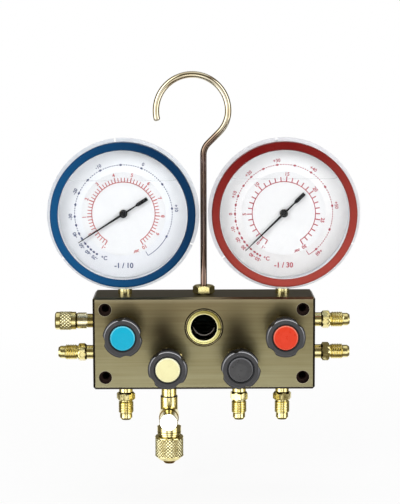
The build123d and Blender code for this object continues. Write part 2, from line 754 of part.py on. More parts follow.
def gauge_case():
    outer, inner, flange = CASE_D / 2, CASE_D / 2 - CASE_WALL, CASE_FLANGE_D / 2
    floor = -CASE_BACK + CASE_WALL
    case = turned(
        (0, -CASE_BACK),
        (outer - CASE_ROUND, -CASE_BACK),
        (outer, -CASE_BACK + CASE_ROUND),
        (outer, CASE_FLANGE_FRONT - CASE_FLANGE_THICKNESS),
        (flange, CASE_FLANGE_FRONT - CASE_FLANGE_THICKNESS),
        (flange, CASE_FLANGE_FRONT),
        (outer, CASE_FLANGE_FRONT),
        (outer, CASE_RIM),
        (0, CASE_RIM),
    )
    boss_reach = outer + CASE_BOSS_PROUD
    case += Rot(90, 0, 0) * rod(CASE_BOSS_D, outer - CASE_ROUND, boss_reach)
    plug_seat_d = PLUG_HEAD_D + 2 * PLUG_SEAT_MARGIN
    case += Rot(-90, 0, 0) * rod(plug_seat_d, outer - CASE_ROUND, outer + CASE_BOSS_PROUD / 2)
    bevel = CASE_ROUND - CASE_WALL
    hollow = ((inner - bevel, floor), (inner, floor + bevel), (inner, CASE_RIM))
    case -= turned((0, floor), *hollow, (0, CASE_RIM))
    case -= Rot(90, 0, 0) * rod(STEM_D, inner - CASE_WALL, boss_reach)
    case -= Rot(-90, 0, 0) * rod(PLUG_D, inner - CASE_WALL, boss_reach)
    half = CASE_FLANGE_GAP_WIDTH / 2
    gap_levels = (CASE_FLANGE_FRONT - CASE_FLANGE_THICKNESS, CASE_FLANGE_FRONT)
    for angle in CASE_FLANGE_GAPS:
        case -= Rot(0, 0, angle) * slab((outer + half, flange), (-half, half), gap_levels)
    return case


def filling_plug():
    seat = CASE_D / 2 + CASE_BOSS_PROUD / 2
    plug = rod(PLUG_D, seat - PLUG_STEM_LENGTH, seat) + rod(PLUG_HEAD_D, seat, seat + PLUG_HEAD_LENGTH)
    return Rot(-90, 0, 0) * plug


def gauge_gasket():
    return ring(CASE_D, CASE_D - 2 * CASE_WALL, CASE_RIM, lens_back())


def gauge_lens():
    return rod(CASE_D, lens_back(), lens_back() + LENS_THICKNESS)


def gauge_bezel():
    case = CASE_D / 2
    outer, window = case + BEZEL_WALL, case - BEZEL_COVER
    lip = lens_back() + LENS_THICKNESS
    front = lip + BEZEL_LIP
    bezel = turned(
        (case, CASE_FLANGE_FRONT),
        (outer, CASE_FLANGE_FRONT),
        (outer, front),
        (window + BEZEL_LIP_SLOPE, front),
        (window, lip + BEZEL_LIP_EDGE),
        (window, lip),
        (case, lip),
    )
    return fillet(bezel.edges().group_by(Axis.Z)[-1].sort_by(SortBy.RADIUS)[-1], BEZEL_ROUND)


def gauge_socket():
    """The brass stem, from its thread in the block to the seat of the Bourdon tube."""
    half = SOCKET_WIDTH / 2
    drop = stem_drop()
    bottom = -(CASE_D / 2 - CASE_WALL - SOCKET_MARGIN)
    stem = rod(STEM_D, -bottom, drop) + rod(STEM_THREAD_D, drop, drop + STEM_THREAD_LENGTH)
    socket = slab((-half, half), (bottom, SOCKET_TOP), (SOCKET_BACK, SOCKET_FRONT))
    socket += Rot(90, 0, 0) * stem
    socket -= Rot(90, 0, 0) * rod(SMALL_BORE_D, TUBE_R, drop + STEM_THREAD_LENGTH)
    return socket - tube_solid(TUBE_THICKNESS, TUBE_WIDTH)


def tube_solid(thickness, width):
    """The flattened tube's sweep, clockwise from the socket over the top to its tip."""
    section = Plane.XZ * Pos(TUBE_R, TUBE_MIDDLE) * Rot(0, 0, 90) * SlotOverall(width, thickness)
    start = Rot(0, 0, TUBE_START) * section
    return revolve(start, Axis((0, 0, 0), (0, 0, -1)), TUBE_SWEEP)


def bourdon_tube():
    wall = 2 * TUBE_WALL
    tube = tube_solid(TUBE_THICKNESS, TUBE_WIDTH) - tube_solid(TUBE_THICKNESS - wall, TUBE_WIDTH - wall)
    x, y = polar(TUBE_R, TUBE_START - TUBE_SWEEP)
    half = TIP_SIZE / 2
    back = TUBE_MIDDLE - TUBE_WIDTH / 2 - TUBE_WALL
    tip = slab((x - half, x + half), (y - half, y + half), (back, TIP_TAB_FRONT))
    tab_width, tab_back = LINK_WIDTH + 2 * TIP_TAB_MARGIN, TIP_TAB_FRONT - TIP_TAB_THICKNESS
    tab = strip((x, y), (LINK_HOLE_X, LINK_HOLE_Y), tab_width, tab_back, TIP_TAB_FRONT)
    tab -= rod(LINK_PIN_D, 0, TIP_TAB_FRONT, LINK_HOLE_X, LINK_HOLE_Y)
    return tube + tip + tab


def strip(start, end, width, low, high):
    """A flat bar with round ends from one point to another."""
    dx, dy = end[0] - start[0], end[1] - start[1]
    slot = SlotCenterToCenter(hypot(dx, dy), width)
    middle = Pos((start[0] + end[0]) / 2, (start[1] + end[1]) / 2, low)
    return middle * Rot(0, 0, degrees(atan2(dy, dx))) * extrude(slot, high - low)


def gear_outline(teeth, first, last):
    """Points round the teeth whose numbers run from first to last, with tooth 0 on +X."""
    pitch_r = GEAR_MODULE * teeth / 2
    outer, root = pitch_r + TOOTH_ADDENDUM * GEAR_MODULE, pitch_r - TOOTH_DEDENDUM * GEAR_MODULE
    step = 360 / teeth
    base = TOOTH_SHARE * step / 2
    flank = degrees(GEAR_MODULE * TOOTH_SLOPE / pitch_r)
    points = []
    for number in range(first, last + 1):
        middle = number * step
        points += [polar(root, middle - base - flank), polar(outer, middle - base + flank)]
        points += [polar(outer, middle + base - flank), polar(root, middle + base + flank)]
    return points


def sector_place():
    return polar(GEAR_MODULE * (PINION_TEETH + SECTOR_FULL_TEETH) / 2, SECTOR_ANGLE)


def tail_place():
    x, y = sector_place()
    dx, dy = polar(SECTOR_TAIL, SECTOR_TAIL_ANGLE)
    return x + dx, y + dy


def plates():
    """The front and back plates' levels: back plate low and high, front plate low and high."""
    low = SOCKET_FRONT + PLATE_THICKNESS
    return SOCKET_FRONT, low, low + PLATE_GAP, low + PLATE_GAP + PLATE_THICKNESS


def plate(bottom, low, high):
    height = PLATE_TOP - bottom
    outline = RectangleRounded(PLATE_WIDTH, height, PLATE_ROUND)
    return Pos(0, (PLATE_TOP + bottom) / 2, low) * extrude(outline, high - low)


def spring_end():
    """Where the hairspring's outer end lies, left of the pinion."""
    return SPRING_INNER_R + (SPRING_HALF_TURNS - 1) * SPRING_PITCH / 2


def movement_frame():
    """Two plates on four pillars, which go on to carry the dial."""
    back_low, back_high, front_low, front_high = plates()
    frame = plate(BACK_PLATE_BOTTOM, back_low, back_high) + plate(FRONT_PLATE_BOTTOM, front_low, front_high)
    for x in (-PILLAR_X, PILLAR_X):
        for y in (PILLAR_BOTTOM_Y, PILLAR_TOP_Y):
            frame += rod(PILLAR_D, back_high, front_low, x, y) + rod(PILLAR_D, front_high, DIAL_BACK, x, y)
    hole = ARBOR_D + 2 * RUNNING_CLEARANCE
    frame -= rod(hole, back_low, front_high) + rod(hole, back_low, front_high, *sector_place())
    end, half = spring_end(), STUD_WIDTH / 2
    stud = slab((-end - half, -end + half), (-2 * STUD_WIDTH, 0), (back_high, SPRING_LEVEL + SPRING_WIDTH))
    return frame + stud


def sector():
    """The toothed quadrant, with a tail for the link and an arbor between the plates."""
    top = GEAR_LEVEL + SECTOR_THICKNESS
    step = 360 / SECTOR_FULL_TEETH
    first, last = SECTOR_TEETH
    face = make_face(Polyline((0, 0), *gear_outline(SECTOR_FULL_TEETH, first, last), close=True))
    pitch_r = GEAR_MODULE * SECTOR_FULL_TEETH / 2
    window = Circle(pitch_r - GEAR_MODULE * TOOTH_DEDENDUM - SECTOR_RIM) - Circle(SECTOR_ARM_WIDTH)
    sides = ((first - 0.5) * step + SECTOR_SPOKE_ANGLE, (last + 0.5) * step - SECTOR_SPOKE_ANGLE)
    wedge = make_face(Polyline((0, 0), *[polar(2 * pitch_r, side) for side in sides], close=True))
    face -= window & wedge
    # Half a tooth's turn puts a gap, not a tooth, on the line to the pinion.
    toward = SECTOR_ANGLE + 180 + step / 2
    gear = Rot(0, 0, toward) * Pos(0, 0, GEAR_LEVEL) * extrude(face, SECTOR_THICKNESS)
    tail = polar(SECTOR_TAIL, SECTOR_TAIL_ANGLE)
    gear += strip((0, 0), tail, SECTOR_TAIL_WIDTH, GEAR_LEVEL, top)
    gear += rod(SECTOR_ARM_WIDTH, GEAR_LEVEL, top) + rod(ARBOR_D, plates()[0], plates()[3])
    gear += rod(LINK_PIN_D, link_low() - LINK_GAP / 2, GEAR_LEVEL, *tail)
    return Pos(*sector_place()) * gear


def link_low():
    return TIP_TAB_FRONT + LINK_GAP


def link():
    """The link from the tube's tip to the sector's tail, which it turns on."""
    high = link_low() + LINK_THICKNESS
    bar = strip(tail_place(), (LINK_HOLE_X, LINK_HOLE_Y), LINK_WIDTH, link_low(), high)
    bar -= rod(LINK_PIN_D, link_low(), high, LINK_HOLE_X, LINK_HOLE_Y)
    return bar - rod(LINK_PIN_D + 2 * RUNNING_CLEARANCE, link_low(), high, *tail_place())


def pointer_levels():
    """The blade's low and high levels, and the top of the hub."""
    return POINTER_FRONT - POINTER_THICKNESS, POINTER_FRONT, POINTER_FRONT + POINTER_HUB_LENGTH / 2


def pinion():
    """The pinion and its arbor, which carries the pointer."""
    blade, _, top = pointer_levels()
    outline = make_face(Polyline(*gear_outline(PINION_TEETH, 0, PINION_TEETH - 1), close=True))
    teeth = Pos(0, 0, GEAR_LEVEL - PINION_OVERLAP) * extrude(outline, PINION_LENGTH)
    shoulder = blade - POINTER_THICKNESS
    spindle = rod(ARBOR_D, plates()[0], shoulder) + rod(ARBOR_TIP_D, shoulder, top - POINTER_HUB_ROOF)
    collet = rod(COLLET_D, SPRING_LEVEL - COLLET_MARGIN, SPRING_LEVEL + SPRING_WIDTH + COLLET_MARGIN)
    return Rot(0, 0, SECTOR_ANGLE) * teeth + spindle + collet


def hairspring():
    """A flat spiral of half circles, from beside the collet out to its stud on the back plate."""
    halves = []
    edge = SPRING_THICKNESS / 2
    reach = 2 * spring_end()
    for number in range(SPRING_HALF_TURNS):
        r = SPRING_INNER_R + number * SPRING_PITCH / 2
        side = 1 if number % 2 == 0 else -1
        x = 0 if side > 0 else SPRING_PITCH / 2
        half = Circle(r + edge) - Circle(r - edge)
        half &= Pos(0, side * reach / 2) * Rectangle(2 * reach, reach)
        halves.append(Pos(x, 0, SPRING_LEVEL) * extrude(half, SPRING_WIDTH))
    return halves[0].fuse(*halves[1:])


def gauge_dial():
    """A disc with a raised middle, on the pillars of the movement."""
    front = DIAL_BACK + DIAL_THICKNESS
    disc = rod(CASE_D - 2 * (CASE_WALL + DIAL_MARGIN), DIAL_BACK, front)
    disc += rod(DIAL_STEP_D, front, front + DIAL_STEP)
    return disc - rod(DIAL_HOLE_D, DIAL_BACK, front + DIAL_STEP)


def pointer():
    low, high, top = pointer_levels()
    half, tip, tail = POINTER_WIDTH / 2, POINTER_TIP_WIDTH / 2, POINTER_TAIL_WIDTH / 2
    upper_side = (
        (POINTER_LENGTH, tip),
        (0, half),
        (-POINTER_TAIL_NARROW, half / 2),
        (-POINTER_TAIL_NARROW - POINTER_TAIL_SHOULDER, tail),
        (-POINTER_TAIL, tail),
    )
    lower_side = [(x, -y) for x, y in reversed(upper_side)]
    outline = make_face(Polyline(*upper_side, *lower_side, close=True))
    blade = Pos(0, 0, low) * extrude(outline, high - low)
    hub_low = top - POINTER_HUB_LENGTH
    hub = rod(POINTER_HUB_D, hub_low, top)
    hub = chamfer(hub.edges().group_by(Axis.Z)[-1], POINTER_HUB_EDGE)
    return blade + hub - rod(ARBOR_TIP_D, hub_low, top - POINTER_HUB_ROOF)


# ---- Assembly ------------------------------------------------------------------------------
def gauge_frame(x):
    return Plane(origin=(x, 0, GAUGE_Z), x_dir=(1, 0, 0), z_dir=FRONT).location


def valve_frame(name):
    x, z, turn = VALVES[name]
    return Plane(origin=(x, FRONT_Y, z), x_dir=(1, 0, 0), z_dir=FRONT).location * Rot(0, 0, turn)


def all_nodes():
    nodes = {"manifold_block": manifold_block(), "hook": hook(), "hook_nut": hook_nut()}
    glass = {
        "sight_glass_ring": sight_glass_ring,
        "sight_glass_lens": sight_glass_lens,
        "sight_glass_seal": sight_glass_seal,
    }
    for name, make in glass.items():
        nodes[name] = aimed(make(), (0, FRONT_Y, GLASS_Z), FRONT)
    fitting = flare_fitting()
    for name, (x, turn) in PORTS.items():
        nodes[name] = aimed(fitting, (x, 0, BOTTOM_Z), DOWN, turn)
    nodes["parking_posts"] = Compound([aimed(fitting, (x, 0, z), way, turn) for x, z, way, turn in POSTS])
    access = {"access_fitting": access_fitting, "access_core": access_core, "access_cap": access_cap}
    for name, make in access.items():
        nodes[name] = aimed(make(), (-SIDE_X, 0, UPPER_POST_Z), LEFT)
    tee = {"vacuum_tee": vacuum_tee, "tee_seal": tee_seal, "tee_bottom_cap": tee_bottom_cap}
    for name, make in tee.items():
        nodes[name] = aimed(make(), (-INNER_X, 0, BOTTOM_Z), DOWN)
    nodes["tee_front_cap"] = aimed(tee_front_cap(), (-INNER_X, 0, BOTTOM_Z - TEE_STUB_DROP), FRONT)
    moving = {"knob": valve_knob, "insert": knob_insert, "spindle": valve_spindle, "piston": valve_piston}
    for name in VALVES:
        for piece, make in moving.items():
            nodes[f"{name}_{piece}"] = valve_frame(name) * make()
    nodes["valve_bonnets"] = Compound([valve_frame(name) * valve_bonnet() for name in VALVES])
    nodes["gland_seals"] = Compound([valve_frame(name) * gland_seal() for name in VALVES])
    single = {
        "case": gauge_case,
        "bezel": gauge_bezel,
        "lens": gauge_lens,
        "dial": gauge_dial,
        "socket": gauge_socket,
        "bourdon_tube": bourdon_tube,
        "sector": sector,
        "link": link,
        "pinion": pinion,
    }
    for name, (x, angle) in GAUGES.items():
        for piece, make in single.items():
            nodes[f"{name}_{piece}"] = gauge_frame(x) * make()
        nodes[f"{name}_pointer"] = gauge_frame(x) * Rot(0, 0, angle) * pointer()
    paired = {
        "movement_frames": movement_frame,
        "hairsprings": hairspring,
        "gauge_gaskets": gauge_gasket,
        "filling_plugs": filling_plug,
    }
    for name, make in paired.items():
        nodes[name] = Compound([gauge_frame(x) * make() for x, _ in GAUGES.values()])
    return nodes


os.makedirs("parts", exist_ok=True)
for node_name, shape in all_nodes().items():
    export_step(shape, f"parts/{node_name}.step")
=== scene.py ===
import math

import bmesh
import bpy
from mathutils import Matrix, Vector

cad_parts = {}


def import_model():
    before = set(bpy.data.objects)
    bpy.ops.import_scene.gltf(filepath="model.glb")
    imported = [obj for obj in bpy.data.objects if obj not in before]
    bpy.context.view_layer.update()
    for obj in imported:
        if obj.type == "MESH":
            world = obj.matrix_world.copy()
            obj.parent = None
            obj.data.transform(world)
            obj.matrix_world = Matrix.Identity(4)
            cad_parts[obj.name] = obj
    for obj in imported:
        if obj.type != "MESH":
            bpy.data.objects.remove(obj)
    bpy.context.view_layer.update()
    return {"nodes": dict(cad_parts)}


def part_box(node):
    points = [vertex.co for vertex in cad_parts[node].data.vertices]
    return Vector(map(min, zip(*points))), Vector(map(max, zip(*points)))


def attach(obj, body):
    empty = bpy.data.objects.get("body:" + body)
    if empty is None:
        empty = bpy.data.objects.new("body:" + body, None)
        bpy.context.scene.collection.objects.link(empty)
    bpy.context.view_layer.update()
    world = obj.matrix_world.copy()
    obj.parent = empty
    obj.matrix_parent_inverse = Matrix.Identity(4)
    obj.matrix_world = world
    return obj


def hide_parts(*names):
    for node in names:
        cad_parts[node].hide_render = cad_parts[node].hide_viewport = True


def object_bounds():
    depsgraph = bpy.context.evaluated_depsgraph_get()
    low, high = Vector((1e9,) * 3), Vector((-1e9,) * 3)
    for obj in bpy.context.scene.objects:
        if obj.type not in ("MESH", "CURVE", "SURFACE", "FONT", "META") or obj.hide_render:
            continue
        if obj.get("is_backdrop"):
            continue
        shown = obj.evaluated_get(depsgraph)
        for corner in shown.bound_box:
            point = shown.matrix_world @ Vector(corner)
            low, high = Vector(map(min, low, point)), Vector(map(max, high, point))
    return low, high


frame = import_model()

MM = 0.001
VALVES = ("blue", "yellow", "black", "red")
GAUGES = ("low", "high")
ALONG = {"x": (1, 0, 0), "y": (0, 1, 0), "z": (0, 0, 1)}

# ---- Where things are, in metres ----
BLOCK_LOW, BLOCK_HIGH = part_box("manifold_block")
GLASS_LOW, GLASS_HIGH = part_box("sight_glass_ring")
GLASS_MIDDLE = (GLASS_LOW + GLASS_HIGH) / 2
MOUNT_X, MOUNT_Z = 72 * MM, 25 * MM  # the middles of the mounting holes
COUNTERBORE_R, LIP_R = 4.75 * MM, 5.0 * MM  # a counterbore, painted dark inside as shade, and the lip round it, painted pale as a highlight
CHAMBER_R = 12.2 * MM  # the sight glass's chamber
CHAMBER_FLOOR = 1 * MM  # the metal left between the chamber's painted shade and the block's back
TOP_BAND = (5.0 * MM, 1.2 * MM)  # under the block's top edge: where its painted highlight, a bright band, begins and is full
SHADES = ((-30.2 * MM, 8.5 * MM), (23.8 * MM, 8.5 * MM))  # painted shade: two soft dark clouds on the block's face, standing in for dark reflections
SHADE_WIDTH, SHADE_HEIGHT, SHADE_DEPTH = 12.2 * MM, 15.0 * MM, 0.95
KNOB_HIGHLIGHT = (12.7 * MM, 13.2 * MM)  # the radii between which a painted highlight lies along a knob's rim
KNOB_RECESS = 10.1 * MM  # the radius of the painted shade round a knob's insert
KNOB_FACE = 0.4 * MM  # how far back a knob's face goes before the painted shade on its side begins
INSERT_EDGE = 0.8 * MM  # the width of an insert's painted highlight along its edge
BEZEL_LIP = 46.4 * MM  # the radius inside which a bezel's lip is painted pale as a highlight
DIAL_STEP = (30.0 * MM, 30.8 * MM)  # the radii across the step round a dial's raised middle
HOOK_BRIGHT = (146 * MM, 176 * MM)  # the heights between which the hook turns from brown to a pale painted highlight


def middle(node):
    """The middle of a CAD node's box."""
    low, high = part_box(node)
    return (low + high) / 2


def gauge_centre(gauge):
    """The middle of a gauge's dial, at the level of its printed face."""
    centre = middle(gauge + "_dial")
    centre.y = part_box(gauge + "_dial")[0].y
    return centre


def linked(name, data):
    """A new object that holds data and is in the scene."""
    made = bpy.data.objects.new(name, data)
    bpy.context.scene.collection.objects.link(made)
    return made


# ---- Node materials ----
class Nodes:
    """A node tree, built up by small calls."""

    def __init__(self, tree):
        self.tree = tree

    def fill(self, socket, value):
        """Link a socket to another node's output, or set its value."""
        if isinstance(value, bpy.types.NodeSocket):
            self.tree.links.new(value, socket)
        elif socket.type == "RGBA":
            socket.default_value = (*value, 1.0)[:4]
        else:
            socket.default_value = value

    def node(self, kind, inputs=(), **settings):
        made = self.tree.nodes.new("ShaderNode" + kind)
        for key, value in settings.items():
            setattr(made, key, value)
        for key, value in dict(inputs).items():
            self.fill(made.inputs[key], value)
        return made

    def math(self, operation, *values):
        return self.node("Math", dict(enumerate(values)), operation=operation).outputs[0]

    def times(self, first, *others):
        """The product of all the values."""
        for value in others:
            first = self.math("MULTIPLY", first, value)
        return first

    def plus(self, first, *others):
        """The sum of all the values."""
        for value in others:
            first = self.math("ADD", first, value)
        return first

    def squared(self, across, up):
        """The square of a distance, from its two parts."""
        return self.plus(self.times(across, across), self.times(up, up))

    def less(self, first, second):
        return self.math("SUBTRACT", first, second)

    def over(self, value, limit):
        """1 where value is over the limit, else 0."""
        return self.math("GREATER_THAN", value, limit)

    def under(self, value, limit):
        """1 where value is under the limit, else 0."""
        return self.math("LESS_THAN", value, limit)

    def inside(self, value, low, high):
        """1 where value lies between low and high, else 0."""
        return self.times(self.over(value, low), self.under(value, high))

    def span(self, value, low, high, to_low=0.0, to_high=1.0, **settings):
        """value between low and high, mapped to another range."""
        inputs = {"Value": value, "From Min": low, "From Max": high, "To Min": to_low, "To Max": to_high}
        return self.node("MapRange", inputs, **settings).outputs["Result"]

    def mix(self, factor, first, second):
        return self.node("Mix", {0: factor, 6: first, 7: second}, data_type="RGBA").outputs[2]


class Paint(Nodes):
    """A material round one principled shader."""

    def __init__(self, name, **settings):
        self.material = bpy.data.materials.new(name)
        self.material.use_nodes = True
        super().__init__(self.material.node_tree)
        self.shader = self.tree.nodes["Principled BSDF"]
        self.output = self.tree.nodes["Material Output"]
        for key, value in settings.items():
            self.set(key, value)
        self.place = self.node("TexCoord").outputs["Object"]

    def set(self, key, value):
        """Fill one of the shader's inputs, its spaces written as underlines."""
        self.fill(self.shader.inputs[key.replace("_", " ")], value)

    def show(self, colour):
        self.set("Base_Color", colour)

    def rough(self, noise, low, high):
        """Roughness that follows noise, from low to high."""
        self.set("Roughness", self.span(noise, 0.3, 0.7, low, high))

    def blend(self, share, other):
        """Put another shader in this one's place, by a share."""
        shaders = {0: share, 1: self.shader.outputs[0], 2: other.outputs[0]}
        self.fill(self.output.inputs["Surface"], self.node("MixShader", shaders).outputs[0])

    def axes(self):
        """The object's X, Y and Z coordinates in metres."""
        return self.node("SeparateXYZ", {0: self.place}).outputs

    def facing(self):
        """The X, Y and Z parts of the surface's normal."""
        normal = self.node("NewGeometry").outputs["Normal"]
        return self.node("SeparateXYZ", {0: normal}).outputs

    def about(self, centre):
        """Distance from an axis along Y through centre, then the shares of it to the right and up."""
        axes = self.axes()
        across, up = self.less(axes["X"], centre.x), self.less(axes["Z"], centre.z)
        out = self.math("SQRT", self.squared(across, up))
        return out, self.math("DIVIDE", across, out), self.math("DIVIDE", up, out)

    def wave(self, value, half):
        """Rises from 0 to 1 over half and falls back over the next, again and again."""
        return self.times(self.math("PINGPONG", value, half), 1 / half)

    def noise(self, scale, detail=3.0, roughness=0.5, distortion=0.0):
        """Noise on the object's coordinates in metres; scale is one number, or one for each axis."""
        scale = scale if isinstance(scale, tuple) else (scale, scale, scale)
        vector = self.node("Mapping", {"Vector": self.place, "Scale": scale}).outputs[0]
        inputs = {"Vector": vector, "Scale": 1.0, "Detail": detail, "Roughness": roughness}
        return self.node("TexNoise", inputs | {"Distortion": distortion}).outputs["Fac"]

    def ramp(self, factor, *stops):
        """Colours (or greys) at places from 0 to 1."""
        made = self.node("ValToRGB", {"Fac": factor})
        elements = made.color_ramp.elements
        while len(elements) < len(stops):
            elements.new(0.5)
        for element, (at, colour) in zip(elements, stops):
            element.position = at
            element.color = (*colour, 1.0) if isinstance(colour, tuple) else (colour, colour, colour, 1.0)
        return made.outputs["Color"]

    def bump(self, height, strength, depth):
        made = self.node("Bump", {"Height": height, "Strength": strength, "Distance": depth})
        self.set("Normal", made.outputs[0])


def brass_paint(name, along):
    """Turned brass with tool lines round an axis, and its colour for further mixing."""
    paint = Paint(name, Metallic=1.0)
    stops = (0.25, (0.76, 0.63, 0.24)), (0.5, (0.89, 0.79, 0.37)), (0.8, (0.96, 0.90, 0.54))
    colour = paint.ramp(paint.noise(160, detail=4, roughness=0.6), *stops)
    paint.show(colour)
    lines = paint.noise(tuple(9000 * share + 30 for share in along), detail=2)
    paint.rough(paint.noise(420), 0.13, 0.24)
    paint.bump(lines, 0.2, 0.00003)
    return paint, colour


def brass(name, along):
    """Turned brass: along is the axis that it was turned about."""
    return brass_paint(name, along)[0].material


def ring_brass():
    """The sight glass's ring: a turned face with painted light and shade, painted highlights on its bevels,
    and painted shade in a groove and a slot.
    """
    paint = brass_paint("brass_ring", ALONG["y"])[0]
    out, right, above = paint.about(GLASS_MIDDLE)
    # painted light and shade: the face is lighter towards the lower left
    light = paint.plus(paint.times(right, -0.35), paint.times(above, -0.45))
    face = paint.mix(paint.span(light, -0.5, 0.5), (0.27, 0.23, 0.06), (0.72, 0.68, 0.30))
    bands = (  # inner and outer radius in millimetres, and tone: painted highlights on the bevels, painted shade in a line and a groove
        (9.0, 10.1, (0.74, 0.70, 0.42)),
        (11.15, 11.4, (0.24, 0.20, 0.07)),
        (12.15, 13.0, (0.05, 0.04, 0.012)),
        (13.0, 15.0, (0.62, 0.54, 0.34)),
    )
    for low, high, tone in bands:
        face = paint.mix(paint.inside(out, low * MM, high * MM), face, tone)
    # painted shade in the slot
    slot_low, slot_high, slot_end = -1.9 * MM, -0.8 * MM, 0.77 * (GLASS_HIGH.x - GLASS_LOW.x) / 2
    level = paint.inside(paint.times(above, out), slot_low, slot_high)
    slot = paint.times(level, paint.over(paint.times(right, out), slot_end))
    paint.show(paint.mix(slot, face, (0.06, 0.05, 0.02)))
    return paint.material


def tee_brass():
    """The tee's brass: painted shade in its thread roots, and in dark rings on the shoulder round the front
    cap.
    """
    shoulder, shoulder_back, half_ring = 10.5 * MM, 4.5 * MM, 0.7 * MM
    above_cap, under_mouth, half_thread = 4.5 * MM, 2.0 * MM, 0.85 * MM
    paint, colour = brass_paint("brass_tee", ALONG["z"])
    out = paint.about(middle("tee_front_cap"))[0]
    cap_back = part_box("tee_front_cap")[1].y
    front = paint.times(
        paint.under(paint.facing()["Y"], -0.8),
        paint.under(out, shoulder),
        paint.under(paint.axes()["Y"], cap_back + shoulder_back),
    )
    # painted shade: dark rings on the front face round the cap
    rings = paint.ramp(paint.wave(out, half_ring), (0.2, (0.07, 0.045, 0.012)), (0.8, (0.30, 0.22, 0.07)))
    colour = paint.mix(front, colour, rings)
    height = paint.axes()["Z"]
    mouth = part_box("tee_bottom_cap")[1].z
    # painted shade in the thread roots round the bottom cap's mouth
    roots = paint.span(paint.wave(height, half_thread), 0.25, 0.55, 0.85, 0.0)
    cut = paint.times(paint.inside(height, mouth - under_mouth, mouth + above_cap), roots)
    paint.show(paint.mix(cut, colour, (0.16, 0.115, 0.03)))
    return paint.material


def access_brass():
    """The access fitting: a nut painted pale as a highlight, between a groove and a neck painted darker as
    shade.
    """
    paint, colour = brass_paint("brass_access", ALONG["x"])
    reach = paint.less(BLOCK_LOW.x, paint.axes()["X"])
    bands = (  # from and to, in millimetres from the block, and tone: painted shade on the neck, a painted highlight on the nut, painted shade in the groove
        (0.0, 4.8, (0.50, 0.41, 0.15)),
        (4.8, 11.8, (0.98, 0.92, 0.62)),
        (12.2, 13.2, (0.10, 0.07, 0.02)),
    )
    for low, high, tone in bands:
        colour = paint.mix(paint.inside(reach, low * MM, high * MM), colour, tone)
    paint.show(colour)
    return paint.material


def bonnet_brass():
    """The valve bonnets, darker than the other fittings: painted shade behind the knobs."""
    paint, colour = brass_paint("brass_bonnet", ALONG["y"])
    # painted shade: the bonnets' brass is darkened
    paint.show(paint.mix(0.7, colour, (0.16, 0.115, 0.045)))
    return paint.material


def cap_brass():
    """The front cap, its end painted almost white as a painted highlight."""
    paint, colour = brass_paint("brass_front_cap", ALONG["y"])
    # painted highlight: the end that looks ahead is painted almost white
    front = paint.under(paint.facing()["Y"], -0.9)
    paint.show(paint.mix(front, colour, (0.97, 0.96, 0.90)))
    return paint.material


def knurled(name, along, around, height, teeth, pitch, band, tip):
    """Brass with painted shade in the grooves that knurl() cuts; band and tip are depths in metres.

    around gives, from the coordinates, the two that turn about the cap's axis; height is the
    coordinate along that axis and the place of the cap's mouth, which depths are measured from.
    """
    paint, colour = brass_paint(name, along)
    axes = paint.axes()
    first, second = (paint.times(paint.less(axes[key], centre), way) for key, centre, way in around)
    turned = paint.times(paint.math("ARCTAN2", first, second), teeth / (2 * math.pi))
    key, mouth = height
    depth = paint.less(mouth, axes[key])
    climb = paint.times(paint.less(depth, band[0]), 1 / pitch)
    ridges = [paint.math("PINGPONG", paint.math(way, turned, climb), 0.5) for way in ("ADD", "SUBTRACT")]
    cut = paint.inside(depth, *band)
    # painted shade in the knurl's grooves
    groove = paint.times(paint.span(paint.math("MAXIMUM", *ridges), 0.33, 0.44), cut)
    colour = paint.mix(cut, colour, (0.99, 0.94, 0.58))
    colour = paint.mix(groove, colour, (0.22, 0.15, 0.03))
    paint.set("Roughness", paint.plus(paint.times(cut, 0.22), 0.18))
    paint.show(paint.mix(paint.over(depth, tip), colour, (0.52, 0.33, 0.11)))
    return paint.material


def near(paint, split, x, z, radius):
    """1 inside a cylinder along Y at (x, z), mirrored to all four corners where x isn't 0, else 0."""
    across = paint.less(paint.math("ABSOLUTE", split["X"]), x)
    up = paint.less(paint.math("ABSOLUTE", split["Z"]) if x else split["Z"], z)
    return paint.under(paint.math("SQRT", paint.squared(across, up)), radius)


def shaded(paint, split, x, z):
    """A soft cloud of painted shade on the block's face, strongest at (x, z)."""
    across = paint.math("DIVIDE", paint.less(split["X"], x), SHADE_WIDTH)
    up = paint.math("DIVIDE", paint.less(split["Z"], z), SHADE_HEIGHT)
    return paint.times(paint.math("EXPONENT", paint.times(paint.squared(across, up), -1.0)), SHADE_DEPTH)


